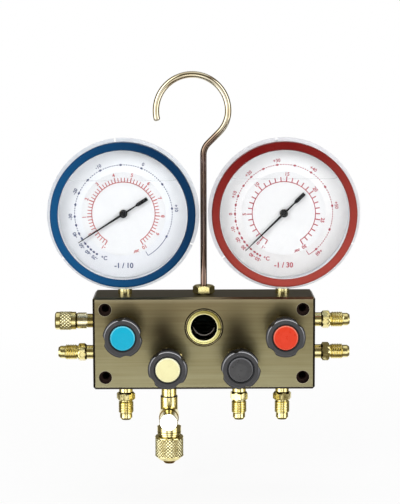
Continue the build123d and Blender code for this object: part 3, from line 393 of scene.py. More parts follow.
def block_metal():
    """Bronze-anodised aluminium: its face brushed from end to end, with painted shade on its sides and in
    its bores.
    """
    paint = Paint("block_anodised", Metallic=1.0)
    split, facing = paint.axes(), paint.facing()
    fine = paint.noise((16, 4200, 4200), detail=3, roughness=0.7)
    broad = paint.noise((9, 520, 520), detail=4, roughness=0.65)
    cloud = paint.noise((26, 26, 38), detail=2)
    # painted shade: the face darkens towards its top; the noises are its grain
    tone = paint.plus(
        paint.span(split["Z"], BLOCK_LOW.z, BLOCK_HIGH.z, 0.22, -0.26),
        paint.span(broad, 0.3, 0.7, 0.40, 0.58),
        paint.span(cloud, 0.3, 0.7, -0.05, 0.05),
        paint.span(fine, 0.3, 0.7, -0.05, 0.05),
    )
    stops = ((0.10, (0.165, 0.125, 0.066)), (0.5, (0.265, 0.235, 0.125)), (0.9, (0.385, 0.37, 0.235)))
    # painted highlight: a bright band along the block's top edge
    bright = paint.span(split["Z"], BLOCK_HIGH.z - TOP_BAND[0], BLOCK_HIGH.z - TOP_BAND[1], 0.0, 0.6)
    face = paint.mix(bright, paint.ramp(tone, *stops), (0.40, 0.355, 0.23))
    # painted shade: the dark clouds on the face
    for x, z in SHADES:
        face = paint.mix(shaded(paint, split, x, z), face, (0.034, 0.026, 0.014))
    # painted shade on faces that don't look ahead, but not on the chamfer along the top front edge, which
    # keeps the face's lighter tone as painted light
    rim = paint.times(paint.over(facing["Z"], 0.4), paint.under(facing["Y"], -0.4))
    side = paint.less(paint.over(facing["Y"], -0.9), rim)
    # painted highlight on the lip round each counterbore, and painted shade inside the counterbores
    lip = near(paint, split, MOUNT_X, MOUNT_Z, LIP_R)
    bore = near(paint, split, MOUNT_X, MOUNT_Z, COUNTERBORE_R)
    # painted shade: the sight glass's chamber is painted nearly black, as if deep in shadow
    chamber = near(paint, split, 0.0, GLASS_MIDDLE.z, CHAMBER_R)
    chamber = paint.times(chamber, paint.under(split["Y"], BLOCK_HIGH.y - CHAMBER_FLOOR))
    colour = paint.mix(side, face, (0.036, 0.028, 0.023))
    colour = paint.mix(lip, colour, (0.42, 0.39, 0.27))
    colour = paint.mix(bore, colour, (0.040, 0.024, 0.020))
    paint.show(paint.mix(chamber, colour, (0.004, 0.002, 0.002)))
    # the painted shade in the bores and the chamber is not metallic
    open_metal = paint.less(1.0, paint.math("MAXIMUM", bore, chamber))
    paint.set("Metallic", open_metal)
    paint.set("Specular_IOR_Level", paint.times(open_metal, 0.5))
    paint.set("Roughness", paint.span(fine, 0.25, 0.75, 0.27, 0.38))
    paint.bump(fine, 0.22, 0.00005)
    return paint.material


def plastic_paint(name, colour, light, roughness, grain, specular):
    """Moulded plastic with a fine grain, and its colour; light is the colour of its worn high spots."""
    paint = Paint(name, Specular_IOR_Level=specular)
    mottle = paint.noise(300, detail=4, roughness=0.6)
    tint = paint.ramp(mottle, (0.30, colour), (0.75, light))
    paint.show(tint)
    paint.rough(mottle, roughness - 0.05, roughness + 0.07)
    paint.bump(paint.noise(3200, detail=2), grain, 0.00003)
    return paint, tint


def plastic(name, colour, light, roughness, grain=0.5, specular=0.5):
    """Plain moulded plastic or rubber."""
    return plastic_paint(name, colour, light, roughness, grain, specular)[0].material


def knob_plastic(valve):
    """A knob's black plastic: a painted highlight along the rim, painted shade on its side and round the
    insert.
    """
    tones = (0.040, 0.040, 0.042), (0.052, 0.051, 0.054)
    paint, tint = plastic_paint(valve + "_knob_moulded", *tones, 0.34, 0.3, 0.25)
    out, _, above = paint.about(middle(valve + "_knob"))
    # painted highlight along the rim, strongest towards the top
    painted_highlight = paint.times(paint.inside(out, *KNOB_HIGHLIGHT), paint.span(above, -0.3, 0.7, 0.05, 0.9))
    tint = paint.mix(painted_highlight, tint, (0.48, 0.48, 0.50))
    # painted shade round the insert and on the side
    tint = paint.mix(paint.under(out, KNOB_RECESS), tint, (0.008, 0.009, 0.011))
    side = paint.over(paint.axes()["Y"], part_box(valve + "_knob")[0].y + KNOB_FACE)
    paint.show(paint.mix(side, tint, (0.008, 0.008, 0.009)))
    return paint.material


def insert_plastic(valve, colour, light, edge, specular=0.25):
    """A knob's coloured disc, with a painted highlight along its rounded edge."""
    low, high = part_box(valve + "_insert")
    paint, tint = plastic_paint("insert_" + valve, colour, light, 0.3, 0.2, specular)
    out, _, above = paint.about((low + high) / 2)
    # painted highlight along the edge, stronger towards the top
    rim = paint.over(out, (high.x - low.x) / 2 - INSERT_EDGE)
    painted_highlight = paint.times(rim, paint.span(above, -0.6, 0.6, 0.3, 1.0))
    paint.show(paint.mix(painted_highlight, tint, edge))
    return paint.material


def bezel_plastic(gauge, dark, light, share, right_share, up_share):
    """A gauge's coloured ring, its tone drifting at random and lighter towards one side as painted light,
    with a painted highlight on its inner lip.
    """
    paint, tint = plastic_paint("bezel_" + gauge, dark, dark, 0.3, 0.1, 0.05)
    out, right, above = paint.about(middle(gauge + "_bezel"))
    drift = paint.span(paint.noise(55), 0.3, 0.7, share - 0.06, share + 0.06)
    # painted light: the ring is lighter towards one side, by right_share and up_share
    tone = paint.plus(paint.times(right, right_share), paint.times(above, up_share), drift)
    tint = paint.mix(tone, tint, light)
    # painted highlight on the inner lip
    paint.show(paint.mix(paint.under(out, BEZEL_LIP), tint, (0.80, 0.81, 0.83)))
    return paint.material


def clear(name, tint, roughness, ior, share=1.0):
    """Clear or milky plastic that lets the lamps' light through to what is behind it."""
    paint = Paint(name, IOR=ior, Transmission_Weight=share)
    dust = paint.noise(240, detail=5, roughness=0.65)
    paint.show(paint.ramp(dust, (0.3, tint), (0.8, (0.92, 0.93, 0.95))))
    paint.set("Roughness", paint.span(dust, 0.35, 0.8, roughness, roughness + 0.05))
    paint.bump(paint.noise(90, detail=1), 0.05, 0.0001)
    through = paint.node("BsdfTransparent", {"Color": tint})
    paint.blend(paint.node("LightPath").outputs["Is Shadow Ray"], through)
    return paint.material


def sight_glass():
    """A clear disc with a painted grey reflection along the lower edge of its bevel."""
    raised, bevel_low, bevel_high = Vector((0, 0, 0.9 * MM)), 7.7 * MM, 8.1 * MM
    paint = Paint("glass_clear", IOR=1.06)
    dust = paint.noise(240, detail=5, roughness=0.65)
    out, _, above = paint.about(GLASS_MIDDLE + raised)
    # painted reflection: an opaque grey crescent on the bevel's lower edge
    bevel = paint.times(paint.inside(out, bevel_low, bevel_high), paint.under(above, -0.3))
    clean = paint.ramp(dust, (0.3, (0.93, 0.95, 0.94)), (0.8, (0.90, 0.91, 0.90)))
    paint.show(paint.mix(bevel, clean, (0.17, 0.15, 0.145)))
    paint.set("Transmission_Weight", paint.less(1.0, bevel))
    paint.set("Roughness", paint.span(dust, 0.35, 0.8, 0.01, 0.05))
    paint.bump(paint.noise(90, detail=1), 0.05, 0.0001)
    return paint.material


def dial_card(gauge, raised, low_tone, high_tone):
    """Enamelled metal, white in its raised middle and greyer round it; the grey ring is painted paler
    towards the top as painted light.
    """
    paint = Paint("dial_" + gauge, Specular_IOR_Level=0.3)
    out, _, above = paint.about(gauge_centre(gauge))
    speckle = paint.noise(700)
    inner = paint.ramp(speckle, (0.3, raised), (0.75, tuple(c * 1.02 for c in raised)))
    # painted light: the outer ring gets paler towards the top
    climb = paint.plus(paint.times(above, out), paint.times(speckle, 4 * MM))
    outer = paint.mix(paint.span(climb, -40 * MM, 44 * MM), low_tone, high_tone)
    paint.show(paint.mix(paint.span(out, *DIAL_STEP), inner, outer))
    paint.rough(speckle, 0.38, 0.5)
    paint.bump(speckle, 0.08, 0.00002)
    return paint.material


def ink(name, colour):
    """Printing ink, a little uneven."""
    paint = Paint(name)
    speckle = paint.noise(2600, detail=2)
    lighter = tuple(c + 0.06 * (1 - c) for c in colour)
    paint.show(paint.ramp(speckle, (0.35, colour), (0.8, lighter)))
    paint.rough(speckle, 0.45, 0.6)
    paint.bump(speckle, 0.1, 0.00001)
    return paint.material


def hook_metal():
    """Yellow-passivated steel: its crook painted pale as a painted highlight, its straight shank brown and
    purple.
    """
    paint = Paint("hook_zinc", Metallic=1.0)
    drift = paint.noise(45, detail=2, distortion=0.6)
    places = (0.25, 0.45, 0.6, 0.8)
    brown = ((0.13, 0.070, 0.062), (0.18, 0.120, 0.088), (0.22, 0.155, 0.13), (0.16, 0.095, 0.085))
    pale = ((0.52, 0.40, 0.28), (0.68, 0.61, 0.43), (0.74, 0.68, 0.53), (0.52, 0.34, 0.25))
    # painted highlight: the crook's tones are pale, the shank's brown and purple
    shank, crook = (paint.ramp(drift, *zip(places, tones)) for tones in (brown, pale))
    height = paint.plus(paint.axes()["Z"], paint.times(drift, 20 * MM))
    paint.show(paint.mix(paint.span(height, *HOOK_BRIGHT), shank, crook))
    pits = paint.noise((700, 700, 260))
    paint.rough(pits, 0.03, 0.08)
    paint.bump(pits, 0.012, 0.00002)
    return paint.material


BRASS = {axis: brass("brass_turned_" + axis, along) for axis, along in ALONG.items()}
BLOCK = block_metal()
HOOK = hook_metal()
KNOBS = {valve: knob_plastic(valve) for valve in VALVES}
INSERTS = {
    # each insert: its two tones, then the colour of its painted highlight
    "blue": insert_plastic("blue", (0.001, 0.36, 0.53), (0.003, 0.38, 0.56), (0.14, 0.60, 0.75)),
    "yellow": insert_plastic("yellow", (0.78, 0.73, 0.40), (0.81, 0.77, 0.43), (0.88, 0.86, 0.62)),
    "black": insert_plastic("black", (0.036, 0.036, 0.038), (0.046, 0.046, 0.049), (0.13, 0.13, 0.14), 0.5),
    "red": insert_plastic("red", (0.64, 0.037, 0.010), (0.67, 0.044, 0.014), (0.80, 0.20, 0.13)),
}
RUBBER = plastic("rubber_black", (0.018, 0.018, 0.019), (0.035, 0.035, 0.036), 0.6)
GASKET = plastic("gasket_grey", (0.55, 0.57, 0.60), (0.68, 0.70, 0.72), 0.6)
BEZELS = {
    # dark and light tones, the middle of the random drift, and how far the painted light leans to the right
    # and upwards
    "low": bezel_plastic("low", (0.003, 0.028, 0.082), (0.008, 0.078, 0.205), 0.41, -0.46, -0.21),
    "high": bezel_plastic("high", (0.145, 0.006, 0.006), (0.34, 0.055, 0.042), 0.52, 0.14, -0.48),
}
CASE = clear("case_milky", (0.86, 0.89, 0.93), 0.30, 1.4, 0.55)
LENS = clear("lens_clear", (0.97, 0.98, 0.99), 0.01, 1.2)
GLASS = sight_glass()
DIALS = {
    # each dial: the raised middle's tone, then the grey ring's tone at its foot and at its top, which is
    # paler as painted light
    "low": dial_card("low", (0.66, 0.66, 0.66), (0.60, 0.605, 0.625), (0.81, 0.82, 0.83)),
    "high": dial_card("high", (0.655, 0.65, 0.645), (0.58, 0.565, 0.555), (0.81, 0.80, 0.79)),
}
POINTER = plastic("pointer_black", (0.003, 0.003, 0.003), (0.006, 0.006, 0.007), 0.4, 0.3, 0.1)
BRONZE = brass("bronze_drawn", (0.4, 0.4, 0.4))

NODE_MATERIALS = {
    "manifold_block": BLOCK,
    "hook": HOOK,
    "hook_nut": BRASS["z"],
    "sight_glass_ring": ring_brass(),
    "sight_glass_lens": GLASS,
    "sight_glass_seal": RUBBER,
    "access_fitting": access_brass(),
    "access_core": BRASS["x"],
    "vacuum_tee": tee_brass(),
    "tee_seal": RUBBER,
    "tee_front_cap": cap_brass(),
    "valve_bonnets": bonnet_brass(),
    "gland_seals": RUBBER,
    "movement_frames": BRASS["y"],
    "hairsprings": BRONZE,
    "gauge_gaskets": GASKET,
    "filling_plugs": GASKET,
}
for valve in VALVES:
    NODE_MATERIALS |= {
        valve + "_knob": KNOBS[valve],
        valve + "_insert": INSERTS[valve],
        valve + "_spindle": BRASS["y"],
        valve + "_piston": BRASS["y"],
    }
for gauge in GAUGES:
    NODE_MATERIALS |= {
        gauge + "_case": CASE,
        gauge + "_bezel": BEZELS[gauge],
        gauge + "_lens": LENS,
        gauge + "_dial": DIALS[gauge],
        gauge + "_socket": BRASS["z"],
        gauge + "_bourdon_tube": BRONZE,
        gauge + "_pointer": POINTER,
    }
    NODE_MATERIALS |= {gauge + moving: BRASS["y"] for moving in ("_sector", "_link", "_pinion")}
for node, finish in NODE_MATERIALS.items():
    slots = frame["nodes"][node].data.materials
    if len(slots) == 0:
        slots.append(finish)
    for number in range(len(slots)):
        slots[number] = finish


# ---- Mesh helpers ----
def mesh_object(name, mesh, finish, body):
    """A visible piece that rides a body, with finish in its one material slot."""
    made = linked(name, mesh)
    made.data.materials.append(finish)
    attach(made, body)
    return made


def lathe(builder, rows, segments, frame_of, radius):
    """Skin circles of (radius, height) rows about a local Z; radius(angle, height, r) reshapes them."""
    rings = []
    for r, height in rows:
        if r < 1e-7:
            rings.append([builder.verts.new(frame_of @ Vector((0, 0, height)))])
            continue
        ring = []
        for step in range(segments):
            angle = 2 * math.pi * step / segments
            reach = radius(angle, height, r)
            spot = Vector((reach * math.cos(angle), reach * math.sin(angle), height))
            ring.append(builder.verts.new(frame_of @ spot))
        rings.append(ring)
    for below, above in zip(rings, rings[1:]):
        for step in range(segments):
            after = (step + 1) % segments
            if len(below) == 1:
                builder.faces.new((below[0], above[after], above[step]))
            elif len(above) == 1:
                builder.faces.new((below[step], below[after], above[0]))
            else:
                builder.faces.new((below[step], below[after], above[after], above[step]))


def mesh_of(builder, name):
    """Turn a bmesh into a mesh."""
    mesh = bpy.data.meshes.new(name)
    builder.to_mesh(mesh)
    builder.free()
    return mesh


def finished(builder, name, sharp=math.radians(32)):
    """The bmesh as a mesh with smooth faces and sharp corners."""
    bmesh.ops.recalc_face_normals(builder, faces=builder.faces)
    for face in builder.faces:
        face.smooth = True
    for edge in builder.edges:
        if len(edge.link_faces) == 2 and edge.calc_face_angle() > sharp:
            edge.smooth = False
    return mesh_of(builder, name)


def aimed(origin, direction, turn=0.0):
    """A frame in millimetres whose Z points along direction, turned about it."""
    z = Vector(direction).normalized()
    x = Vector((0, 0, 1)).cross(z) if abs(z.z) < 0.9 else Vector((1, 0, 0))
    y = z.cross(x)
    matrix = Matrix((x, y, z)).transposed().to_4x4()
    turned = Matrix.Translation(origin) @ matrix @ Matrix.Rotation(math.radians(turn), 4, "Z")
    return turned @ Matrix.Scale(MM, 4)


# ---- Flare fittings with cut threads ----
# Millimetres. Lengths run from the block outwards, and HEX is across the nut's flats.
NECK, HEX, NUT, THREAD, NOSE = 6.1, 12.0, 5.7, 9.6, 5.2
NECK_R, GROOVE_R, NOSE_R, TIP_R, BORE_R, BORE_DEPTH = 5.15, 4.75, 4.65, 3.55, 2.25, 4.0
PITCH = 25.4 / 20
CREST, ROOT = 11.112 / 2, 9.75 / 2  # the thread's radii
FITTING_SEGMENTS = 60


def hex_radius(angle, across):
    """The distance to a hexagon's side, for a hexagon with a corner on +X."""
    fold = (angle + math.pi / 6) % (math.pi / 3) - math.pi / 6
    return across / 2 / math.cos(math.pi / 6 - abs(fold))


def fitting_rows():
    """The outline of a flare fitting in millimetres, from the block to its bored nose."""
    nut_low, nut_high = NECK, NECK + NUT
    corner = HEX / math.sqrt(3)
    drop = (corner - HEX / 2) * 0.9
    face = HEX * 0.485
    rows = [(NECK_R, -0.5), (NECK_R, NECK - 0.6), (NECK_R + 0.6, NECK - 0.05), (face, nut_low)]
    rows += [(corner, nut_low + drop), (corner, nut_high - drop), (face, nut_high)]
    rows += [(GROOVE_R, nut_high + 0.02)]
    start, end = nut_high + 0.9, nut_high + THREAD
    rows += [(GROOVE_R, start - 0.25)]
    turns = (end - start) / PITCH
    for step in range(int(turns * 10) + 1):
        rows.append((CREST, start + step * PITCH / 10))
    tip, floor_of_bore = end + NOSE, end - BORE_DEPTH
    rows += [(NOSE_R, end + 0.35), (NOSE_R, tip - 1.6), (TIP_R, tip)]
    rows += [(BORE_R, tip), (BORE_R, floor_of_bore), (0, floor_of_bore)]
    return rows, nut_low, nut_high, start, end


def fitting_radius(angle, height, r):
    """Flats on the nut and a helical thread behind the nose, in millimetres."""
    _, nut_low, nut_high, start, end = FITTING
    if nut_low + 0.01 < height < nut_high - 0.01:
        return min(r, hex_radius(angle, HEX))
    if start - 0.001 <= height <= end and r == CREST:
        phase = ((height - start) / PITCH - angle / (2 * math.pi)) % 1
        wave = abs(2 * phase - 1)
        depth = ROOT + (CREST - ROOT) * min(1.0, 1.8 * wave)
        fade = min(1.0, (height - start) / 0.7, (end + 0.05 - height) / 0.5)
        return ROOT + (depth - ROOT) * max(0.15, fade)
    return r


FITTING = fitting_rows()


def fittings(name, node, places, finish):
    """Flare fittings at (origin, direction, turn), standing for one CAD node."""
    builder = bmesh.new()
    for origin, direction, turn in places:
        placed = aimed(origin, direction, turn)
        lathe(builder, FITTING[0], FITTING_SEGMENTS, placed, fitting_radius)
    made = mesh_object(name, finished(builder, name), finish, "manifold")
    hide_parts(node)


def below_block(node):
    """The place on the block's underside that a port screws into."""
    return Vector((middle(node).x, 0, BLOCK_LOW.z))


for port, turn in (("low_side_port", 8), ("charging_port", 22), ("high_side_port", 50)):
    fittings(port + "_threaded", port, [(below_block(port), (0, 0, -1), turn)], BRASS["z"])
POST_REACH = 6.35 * MM  # how far the nuts of the highest and lowest posts reach past their axes
POST_LOW, POST_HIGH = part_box("parking_posts")
UPPER_Z, LOWER_Z = POST_HIGH.z - POST_REACH, POST_LOW.z + POST_REACH
POSTS = [
    ((BLOCK_LOW.x, 0, LOWER_Z), (-1, 0, 0), 20),
    ((BLOCK_HIGH.x, 0, UPPER_Z), (1, 0, 0), 40),
    ((BLOCK_HIGH.x, 0, LOWER_Z), (1, 0, 0), 10),
]
fittings("parking_posts_threaded", "parking_posts", POSTS, BRASS["x"])


# ---- Knurled caps ----
ACCESS_KNURL = 16, 2.7  # teeth, and their pitch along the cap in millimetres
BOTTOM_KNURL = 27, 2.4


def knurl(teeth, pitch, depth, low, high):
    """Diamond knurling between two heights: crossed helical grooves."""

    def radius(angle, height, r):
        if not low <= height <= high:
            return r
        around = angle / (2 * math.pi) * teeth
        along = (height - low) / pitch
        first = abs(((around + along) % 1) * 2 - 1)
        second = abs(((around - along) % 1) * 2 - 1)
        fade = min(1.0, (height - low) / 0.3, (high - height) / 0.3)
        return r - depth * (1 - min(first, second) * 0.9) * fade

    return radius


def stepped(start, end, step):
    """Evenly spaced values from start to end, about a step apart."""
    count = max(1, round((end - start) / step))
    return [start + (end - start) * number / count for number in range(count + 1)]


def access_cap():
    """Smooth ring, knurled band and chamfered end, in millimetres from the cap's mouth."""
    low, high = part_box("access_cap")
    length = (high.x - low.x) / MM
    origin = Vector((high.x, 0, (low.z + high.z) / 2))
    band = (3.9, length - 3.9)
    bore, ring, grip = 5.65, 6.6, 7.0
    rows = [(0, 2.0), (bore, 2.0), (bore, 0), (6.3, 0), (ring, 0.4)]
    rows += [(ring, band[0] - 0.5), (grip, band[0] - 0.1)]
    rows += [(grip, height) for height in stepped(*band, 0.2)]
    rows += [(ring, band[1] + 0.4), (ring, length - 0.9), (5.7, length), (0, length)]
    builder = bmesh.new()
    placed = aimed(origin, (-1, 0, 0))
    teeth, pitch = ACCESS_KNURL
    lathe(builder, rows, 240, placed, knurl(teeth, pitch, 0.5, *band))
    around = (("Z", (low.z + high.z) / 2, 1), ("Y", (low.y + high.y) / 2, -1))
    cut = [height * MM for height in band]
    no_tip = 1.0  # past the cap's end, so no part of it is darker
    finish = knurled("brass_access_cap", ALONG["x"], around, ("X", high.x), teeth, pitch * MM, cut, no_tip)
    mesh = finished(builder, "access_cap_knurled")
    made = mesh_object("access_cap_knurled", mesh, finish, "access_cap")
    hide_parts("access_cap")


def bottom_cap():
    """Knurled barrel with a bevelled end and a coned boss, in millimetres from its mouth."""
    low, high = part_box("tee_bottom_cap")
    length = (high.z - low.z) / MM
    origin = Vector(((low.x + high.x) / 2, (low.y + high.y) / 2, high.z))
    barrel = length - 2.8
    band = (1.2, barrel - 3.2)
    bore, grip = 8.1, 10.6
    rows = [(0, 3.5), (bore, 3.5), (bore, 0), (grip - 0.5, 0), (grip, 0.5)]
    rows += [(grip, height) for height in stepped(*band, 0.25)]
    rows += [(grip, barrel - 2.9), (7.6, barrel), (5.7, barrel)]
    rows += [(5.6, barrel + 0.5), (3.7, length), (0, length)]
    builder = bmesh.new()
    placed = aimed(origin, (0, 0, -1))
    teeth, pitch = BOTTOM_KNURL
    lathe(builder, rows, 270, placed, knurl(teeth, pitch, 0.55, *band))
    around = (("Y", (low.y + high.y) / 2, 1), ("X", (low.x + high.x) / 2, 1))
    cut = [height * MM for height in band]
    boss = (barrel - 0.1) * MM
    finish = knurled("brass_bottom_cap", ALONG["z"], around, ("Z", high.z), teeth, pitch * MM, cut, boss)
    mesh = finished(builder, "tee_bottom_cap_knurled")
    made = mesh_object("tee_bottom_cap_knurled", mesh, finish, "tee_bottom_cap")
    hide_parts("tee_bottom_cap")


access_cap()
bottom_cap()


# ---- Knobs ----
KNOB_R, NOTCH_R, NOTCH_DEPTH = 14.25, 6.5, 1.4
KNOB_DRAFT = 1.4  # how much smaller the knob's radius is at its back
SHOULDER = 0.7  # the width over which a hollow's edge is rounded
RIM_ROUND = 1.1  # the radius of the rounded rim
HUB_R, SEAT_R, SEAT_DEPTH = 6.0, 9.15, 2.6  # the hub behind, and the recess for the insert


def knob_radius(angle, height, r):
    """Four hollows in the knob's edge, with rounded shoulders."""
    inset = KNOB_R - r
    if inset > KNOB_DRAFT + SHOULDER:
        return r
    fold = (angle + math.pi / 4) % (math.pi / 2) - math.pi / 4
    centre = KNOB_R - NOTCH_DEPTH + NOTCH_R
    off = centre * math.sin(fold)
    if abs(off) >= NOTCH_R:
        return r
    hollow = centre * math.cos(fold) - math.sqrt(NOTCH_R ** 2 - off ** 2) - inset
    blend = max(0.0, SHOULDER - abs(r - hollow)) / SHOULDER
    return min(r, hollow) - blend * blend * SHOULDER / 4


def knob(valve, turn):
    """A moulded knob, hollow behind, with a rounded rim and a recess for its insert."""
    low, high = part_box(valve + "_knob")
    length = (high.y - low.y) / MM
    origin = Vector(((low.x + high.x) / 2, high.y, (low.z + high.z) / 2))
    rows = [(0, 1.0), (HUB_R, 1.0), (HUB_R, length - 5.0), (11.0, length - 5.0)]
    rows += [(10.2, 0.3), (10.5, 0), (12.0, 0), (12.35, 0.5)]
    for height in stepped(1.5, length - 2.0, 3.0):
        rows.append((KNOB_R - KNOB_DRAFT * max(0.0, 1 - height / (length - 4.0)) ** 0.8, height))
    for turned in (0.25, 0.55, 0.85, 1.15, math.pi / 2):
        inwards, back = RIM_ROUND * (1 - math.cos(turned)), RIM_ROUND * (1 - math.sin(turned))
        rows.append((KNOB_R - inwards, length - back))
    seat = length - SEAT_DEPTH
    rows += [(SEAT_R + 0.35, length), (SEAT_R, length - 0.3), (SEAT_R, seat), (0, seat)]
    builder = bmesh.new()
    placed = aimed(origin, (0, -1, 0), turn)
    lathe(builder, rows, 144, placed, knob_radius)
    name = valve + "_knob_moulded"
    mesh = finished(builder, name, math.radians(40))
    made = mesh_object(name, mesh, KNOBS[valve], valve + "_valve_knob")
    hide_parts(valve + "_knob")


for valve, turn in zip(VALVES, (8, 36, 14, 45)):
    knob(valve, turn)


# ---- Dial printing ----
PRINT_RISE = 0.05 * MM
STEP_FACE = 0.5 * MM  # the height of the dial's raised middle
RISE_RADIUS = 30.3  # millimetres, as are the other radii here


class Dial:
    """Flat printing on one gauge's face, in millimetres about its hub."""

    def __init__(self, gauge):
        self.gauge = gauge
        self.centre = gauge_centre(gauge)
        self.inks = {}

    def point(self, x, y):
        """A point on the face: the raised middle stands nearer to the reader."""
        face = self.centre.y if math.hypot(x, y) < RISE_RADIUS else self.centre.y + STEP_FACE
        return Vector((self.centre.x + x * MM, face - PRINT_RISE, self.centre.z + y * MM))

    def builder(self, colour):
        if colour not in self.inks:
            self.inks[colour] = bmesh.new()
        return self.inks[colour]

    def face(self, colour, corners):
        made = self.builder(colour)
        made.faces.new([made.verts.new(self.point(*corner)) for corner in corners])

    def line(self, colour, first, second, width):
        along = Vector((second[0] - first[0], second[1] - first[1])).normalized() * width / 2
        x, y = -along.y, along.x
        ends = ((first, -1), (second, -1), (second, 1), (first, 1))
        self.face(colour, [(end[0] + side * x, end[1] + side * y) for end, side in ends])

    def tick(self, colour, angle, low, high, width):
        self.line(colour, polar(low, angle), polar(high, angle), width)

    def arc(self, colour, radius, start, end, width):
        """A ring section from start to end, going clockwise."""
        steps = max(1, math.ceil((start - end) / 3))
        turns = [start + (end - start) * n / steps for n in range(steps + 1)]
        for first, second in zip(turns, turns[1:]):
            inner, outer = radius - width / 2, radius + width / 2
            corners = ((inner, first), (inner, second), (outer, second), (outer, first))
            self.face(colour, [polar(*corner) for corner in corners])

    def dot(self, colour, angle, radius, size):
        x, y = polar(radius, angle)
        turns = [math.pi / 4 * n for n in range(8)]
        self.face(colour, [(x + size * math.cos(t), y + size * math.sin(t)) for t in turns])

    def text(self, colour, words, angle, radius, size, upright=False):
        """Plain numbers or a unit, centred at a polar place; they turn with the scale unless upright."""
        curve = bpy.data.curves.new("words", "FONT")
        curve.body, curve.size = words, size
        curve.align_x, curve.align_y = "CENTER", "CENTER"
        curve.resolution_u = 3
        curve.offset = size * 0.03
        maker = linked("words", curve)
        bpy.context.view_layer.update()
        solved = maker.evaluated_get(bpy.context.evaluated_depsgraph_get())
        flat = bpy.data.meshes.new_from_object(solved)
        x, y = polar(radius, angle)
        turn = Matrix.Rotation(0 if upright else math.radians(angle - 90), 2)
        target = self.builder(colour)
        points = []
        for vertex in flat.vertices:
            spot = turn @ Vector((vertex.co.x, vertex.co.y))
            points.append(target.verts.new(self.point(x + spot.x, y + spot.y)))
        for polygon in flat.polygons:
            target.faces.new([points[index] for index in polygon.vertices])
        bpy.data.objects.remove(maker)
        bpy.data.curves.remove(curve)
        bpy.data.meshes.remove(flat)

    def finish(self, materials):
        for colour, builder in self.inks.items():
            name = f"{self.gauge}_print_{colour}"
            mesh_object(name, mesh_of(builder, name), materials[colour], "manifold")


def polar(radius, angle):
    """A point at a radius and at an angle in degrees, counted from the right."""
    turn = math.radians(angle)
    return radius * math.cos(turn), radius * math.sin(turn)


PRESSURE_R = 22.9
TEMPERATURE_R = 35.3
SCALE_START = 239.0  # degrees, where both pressure scales begin
FOOT_R = 38.0  # of the range printed at the dial's foot


def pressure_scale(dial, colour, first, last, per_unit, parts, numbered, longest):
    """An arc with ticks outside it: one for each part, longer at units and longest where numbered."""
    end = SCALE_START - (last - first) * per_unit
    dial.arc(colour, PRESSURE_R, SCALE_START, end, 0.62)
    count = (last - first) * parts
    for step in range(count + 1):
        value = first + step / parts
        angle = SCALE_START - (value - first) * per_unit
        whole = step % parts == 0
        reach = longest if whole and value in numbered else longest * 0.85
        dial.tick(colour, angle, PRESSURE_R, PRESSURE_R + reach, 0.78 if whole else 0.62)
    for value in numbered:
        angle = SCALE_START - (value - first) * per_unit
        dial.text(colour, str(value), angle, PRESSURE_R + 5.5, 3.6)


def temperature_scale(dial, colour, places, end, numbered):
    """A dashed arc with a dot each five degrees, numbers outside it and a closing line."""
    angles = sorted(places.values(), reverse=True)
    for first, second in zip(angles, angles[1:]):
        dashes = max(2, round((first - second) / 2.9))
        for number in range(dashes):
            start = first + (second - first) * (number + 0.2) / dashes
            dial.arc(colour, TEMPERATURE_R, start, start - abs(first - second) / dashes * 0.55, 0.66)
    for angle in angles:
        dial.dot(colour, angle, TEMPERATURE_R, 0.85)
    dial.arc(colour, TEMPERATURE_R, angles[-1], end, 0.5)
    dial.tick(colour, end, TEMPERATURE_R - 3.4, TEMPERATURE_R, 0.5)
    for value in numbered:
        words = ("+" if value > 0 else "") + str(value)
        dial.text(colour, words, places[value], TEMPERATURE_R + 3.0, 3.4)


def spread(*stations):
    """Angles for each five degrees, between stations of (temperature, angle)."""
    places = {}
    for (low, start), (high, end) in zip(stations, stations[1:]):
        for value in range(low, high + 1, 5):
            places[value] = start + (end - start) * (value - low) / (high - low)
    return places


INKS = {
    "red": ink("ink_red", (0.36, 0.012, 0.035)),
    "rose": ink("ink_rose", (0.40, 0.045, 0.045)),
    "navy": ink("ink_navy", (0.018, 0.032, 0.12)),
}


def print_low():
    """The blue gauge: -1 to 10 bar, and its temperatures."""
    dial = Dial("low")
    pressure_scale(dial, "rose", -1, 10, 27.0, 5, list(range(-1, 11)), 3.7)
    dial.text("rose", "bar", -71.5, PRESSURE_R + 6.2, 3.4)
    cold = spread(
        (-70, 236.5), (-60, 227.5), (-50, 218), (-40, 204), (-30, 183.3),
        (-20, 155.1), (-10, 117.7), (0, 67.9), (10, 5.8), (15, -28.4),
    )
    temperature_scale(dial, "navy", cold, -60.0, range(-70, 11, 10))
    dial.text("navy", "°C", 246.5, TEMPERATURE_R + 0.2, 4.0, upright=True)
    dial.text("navy", "-1 / 10", 270.0, FOOT_R, 5.2, upright=True)
    dial.finish(INKS)


def print_high():
    """The red gauge: -1 to 30 bar, and its temperatures."""
    dial = Dial("high")
    pressure_scale(dial, "red", -1, 30, 9.6, 1, [0, 5, 10, 15, 20, 25, 30], 3.9)
    dial.text("red", "-1", SCALE_START, PRESSURE_R + 5.9, 3.2)
    dial.text("red", "bar", -70.5, PRESSURE_R + 6.2, 3.4)
    warm = spread(
        (-50, 241), (-40, 233.3), (-30, 221.5), (-20, 210.8), (-10, 198), (0, 180.8),
        (10, 159.3), (20, 131.9), (30, 97.9), (40, 56.4), (50, 8.6), (60, -48.3),
    )
    temperature_scale(dial, "red", warm, -59.0, range(-50, 61, 10))
    dial.text("red", "°C", 249.5, TEMPERATURE_R + 0.2, 4.0, upright=True)
    dial.text("red", "-1 / 30", 270.0, FOOT_R, 5.2, upright=True)
    dial.finish(INKS)


print_low()
print_high()


# ---- Liquid filling ----
WINDOW_R = 45.9
ARC_STEPS, EDGE_STEPS = 48, 24
EDGE_HALF = 0.24  # half the liquid edge's width
CURL_REACH, CURL_RISE = 4, 0.9  # the edge curls up by the rise over the last millimetres at each end


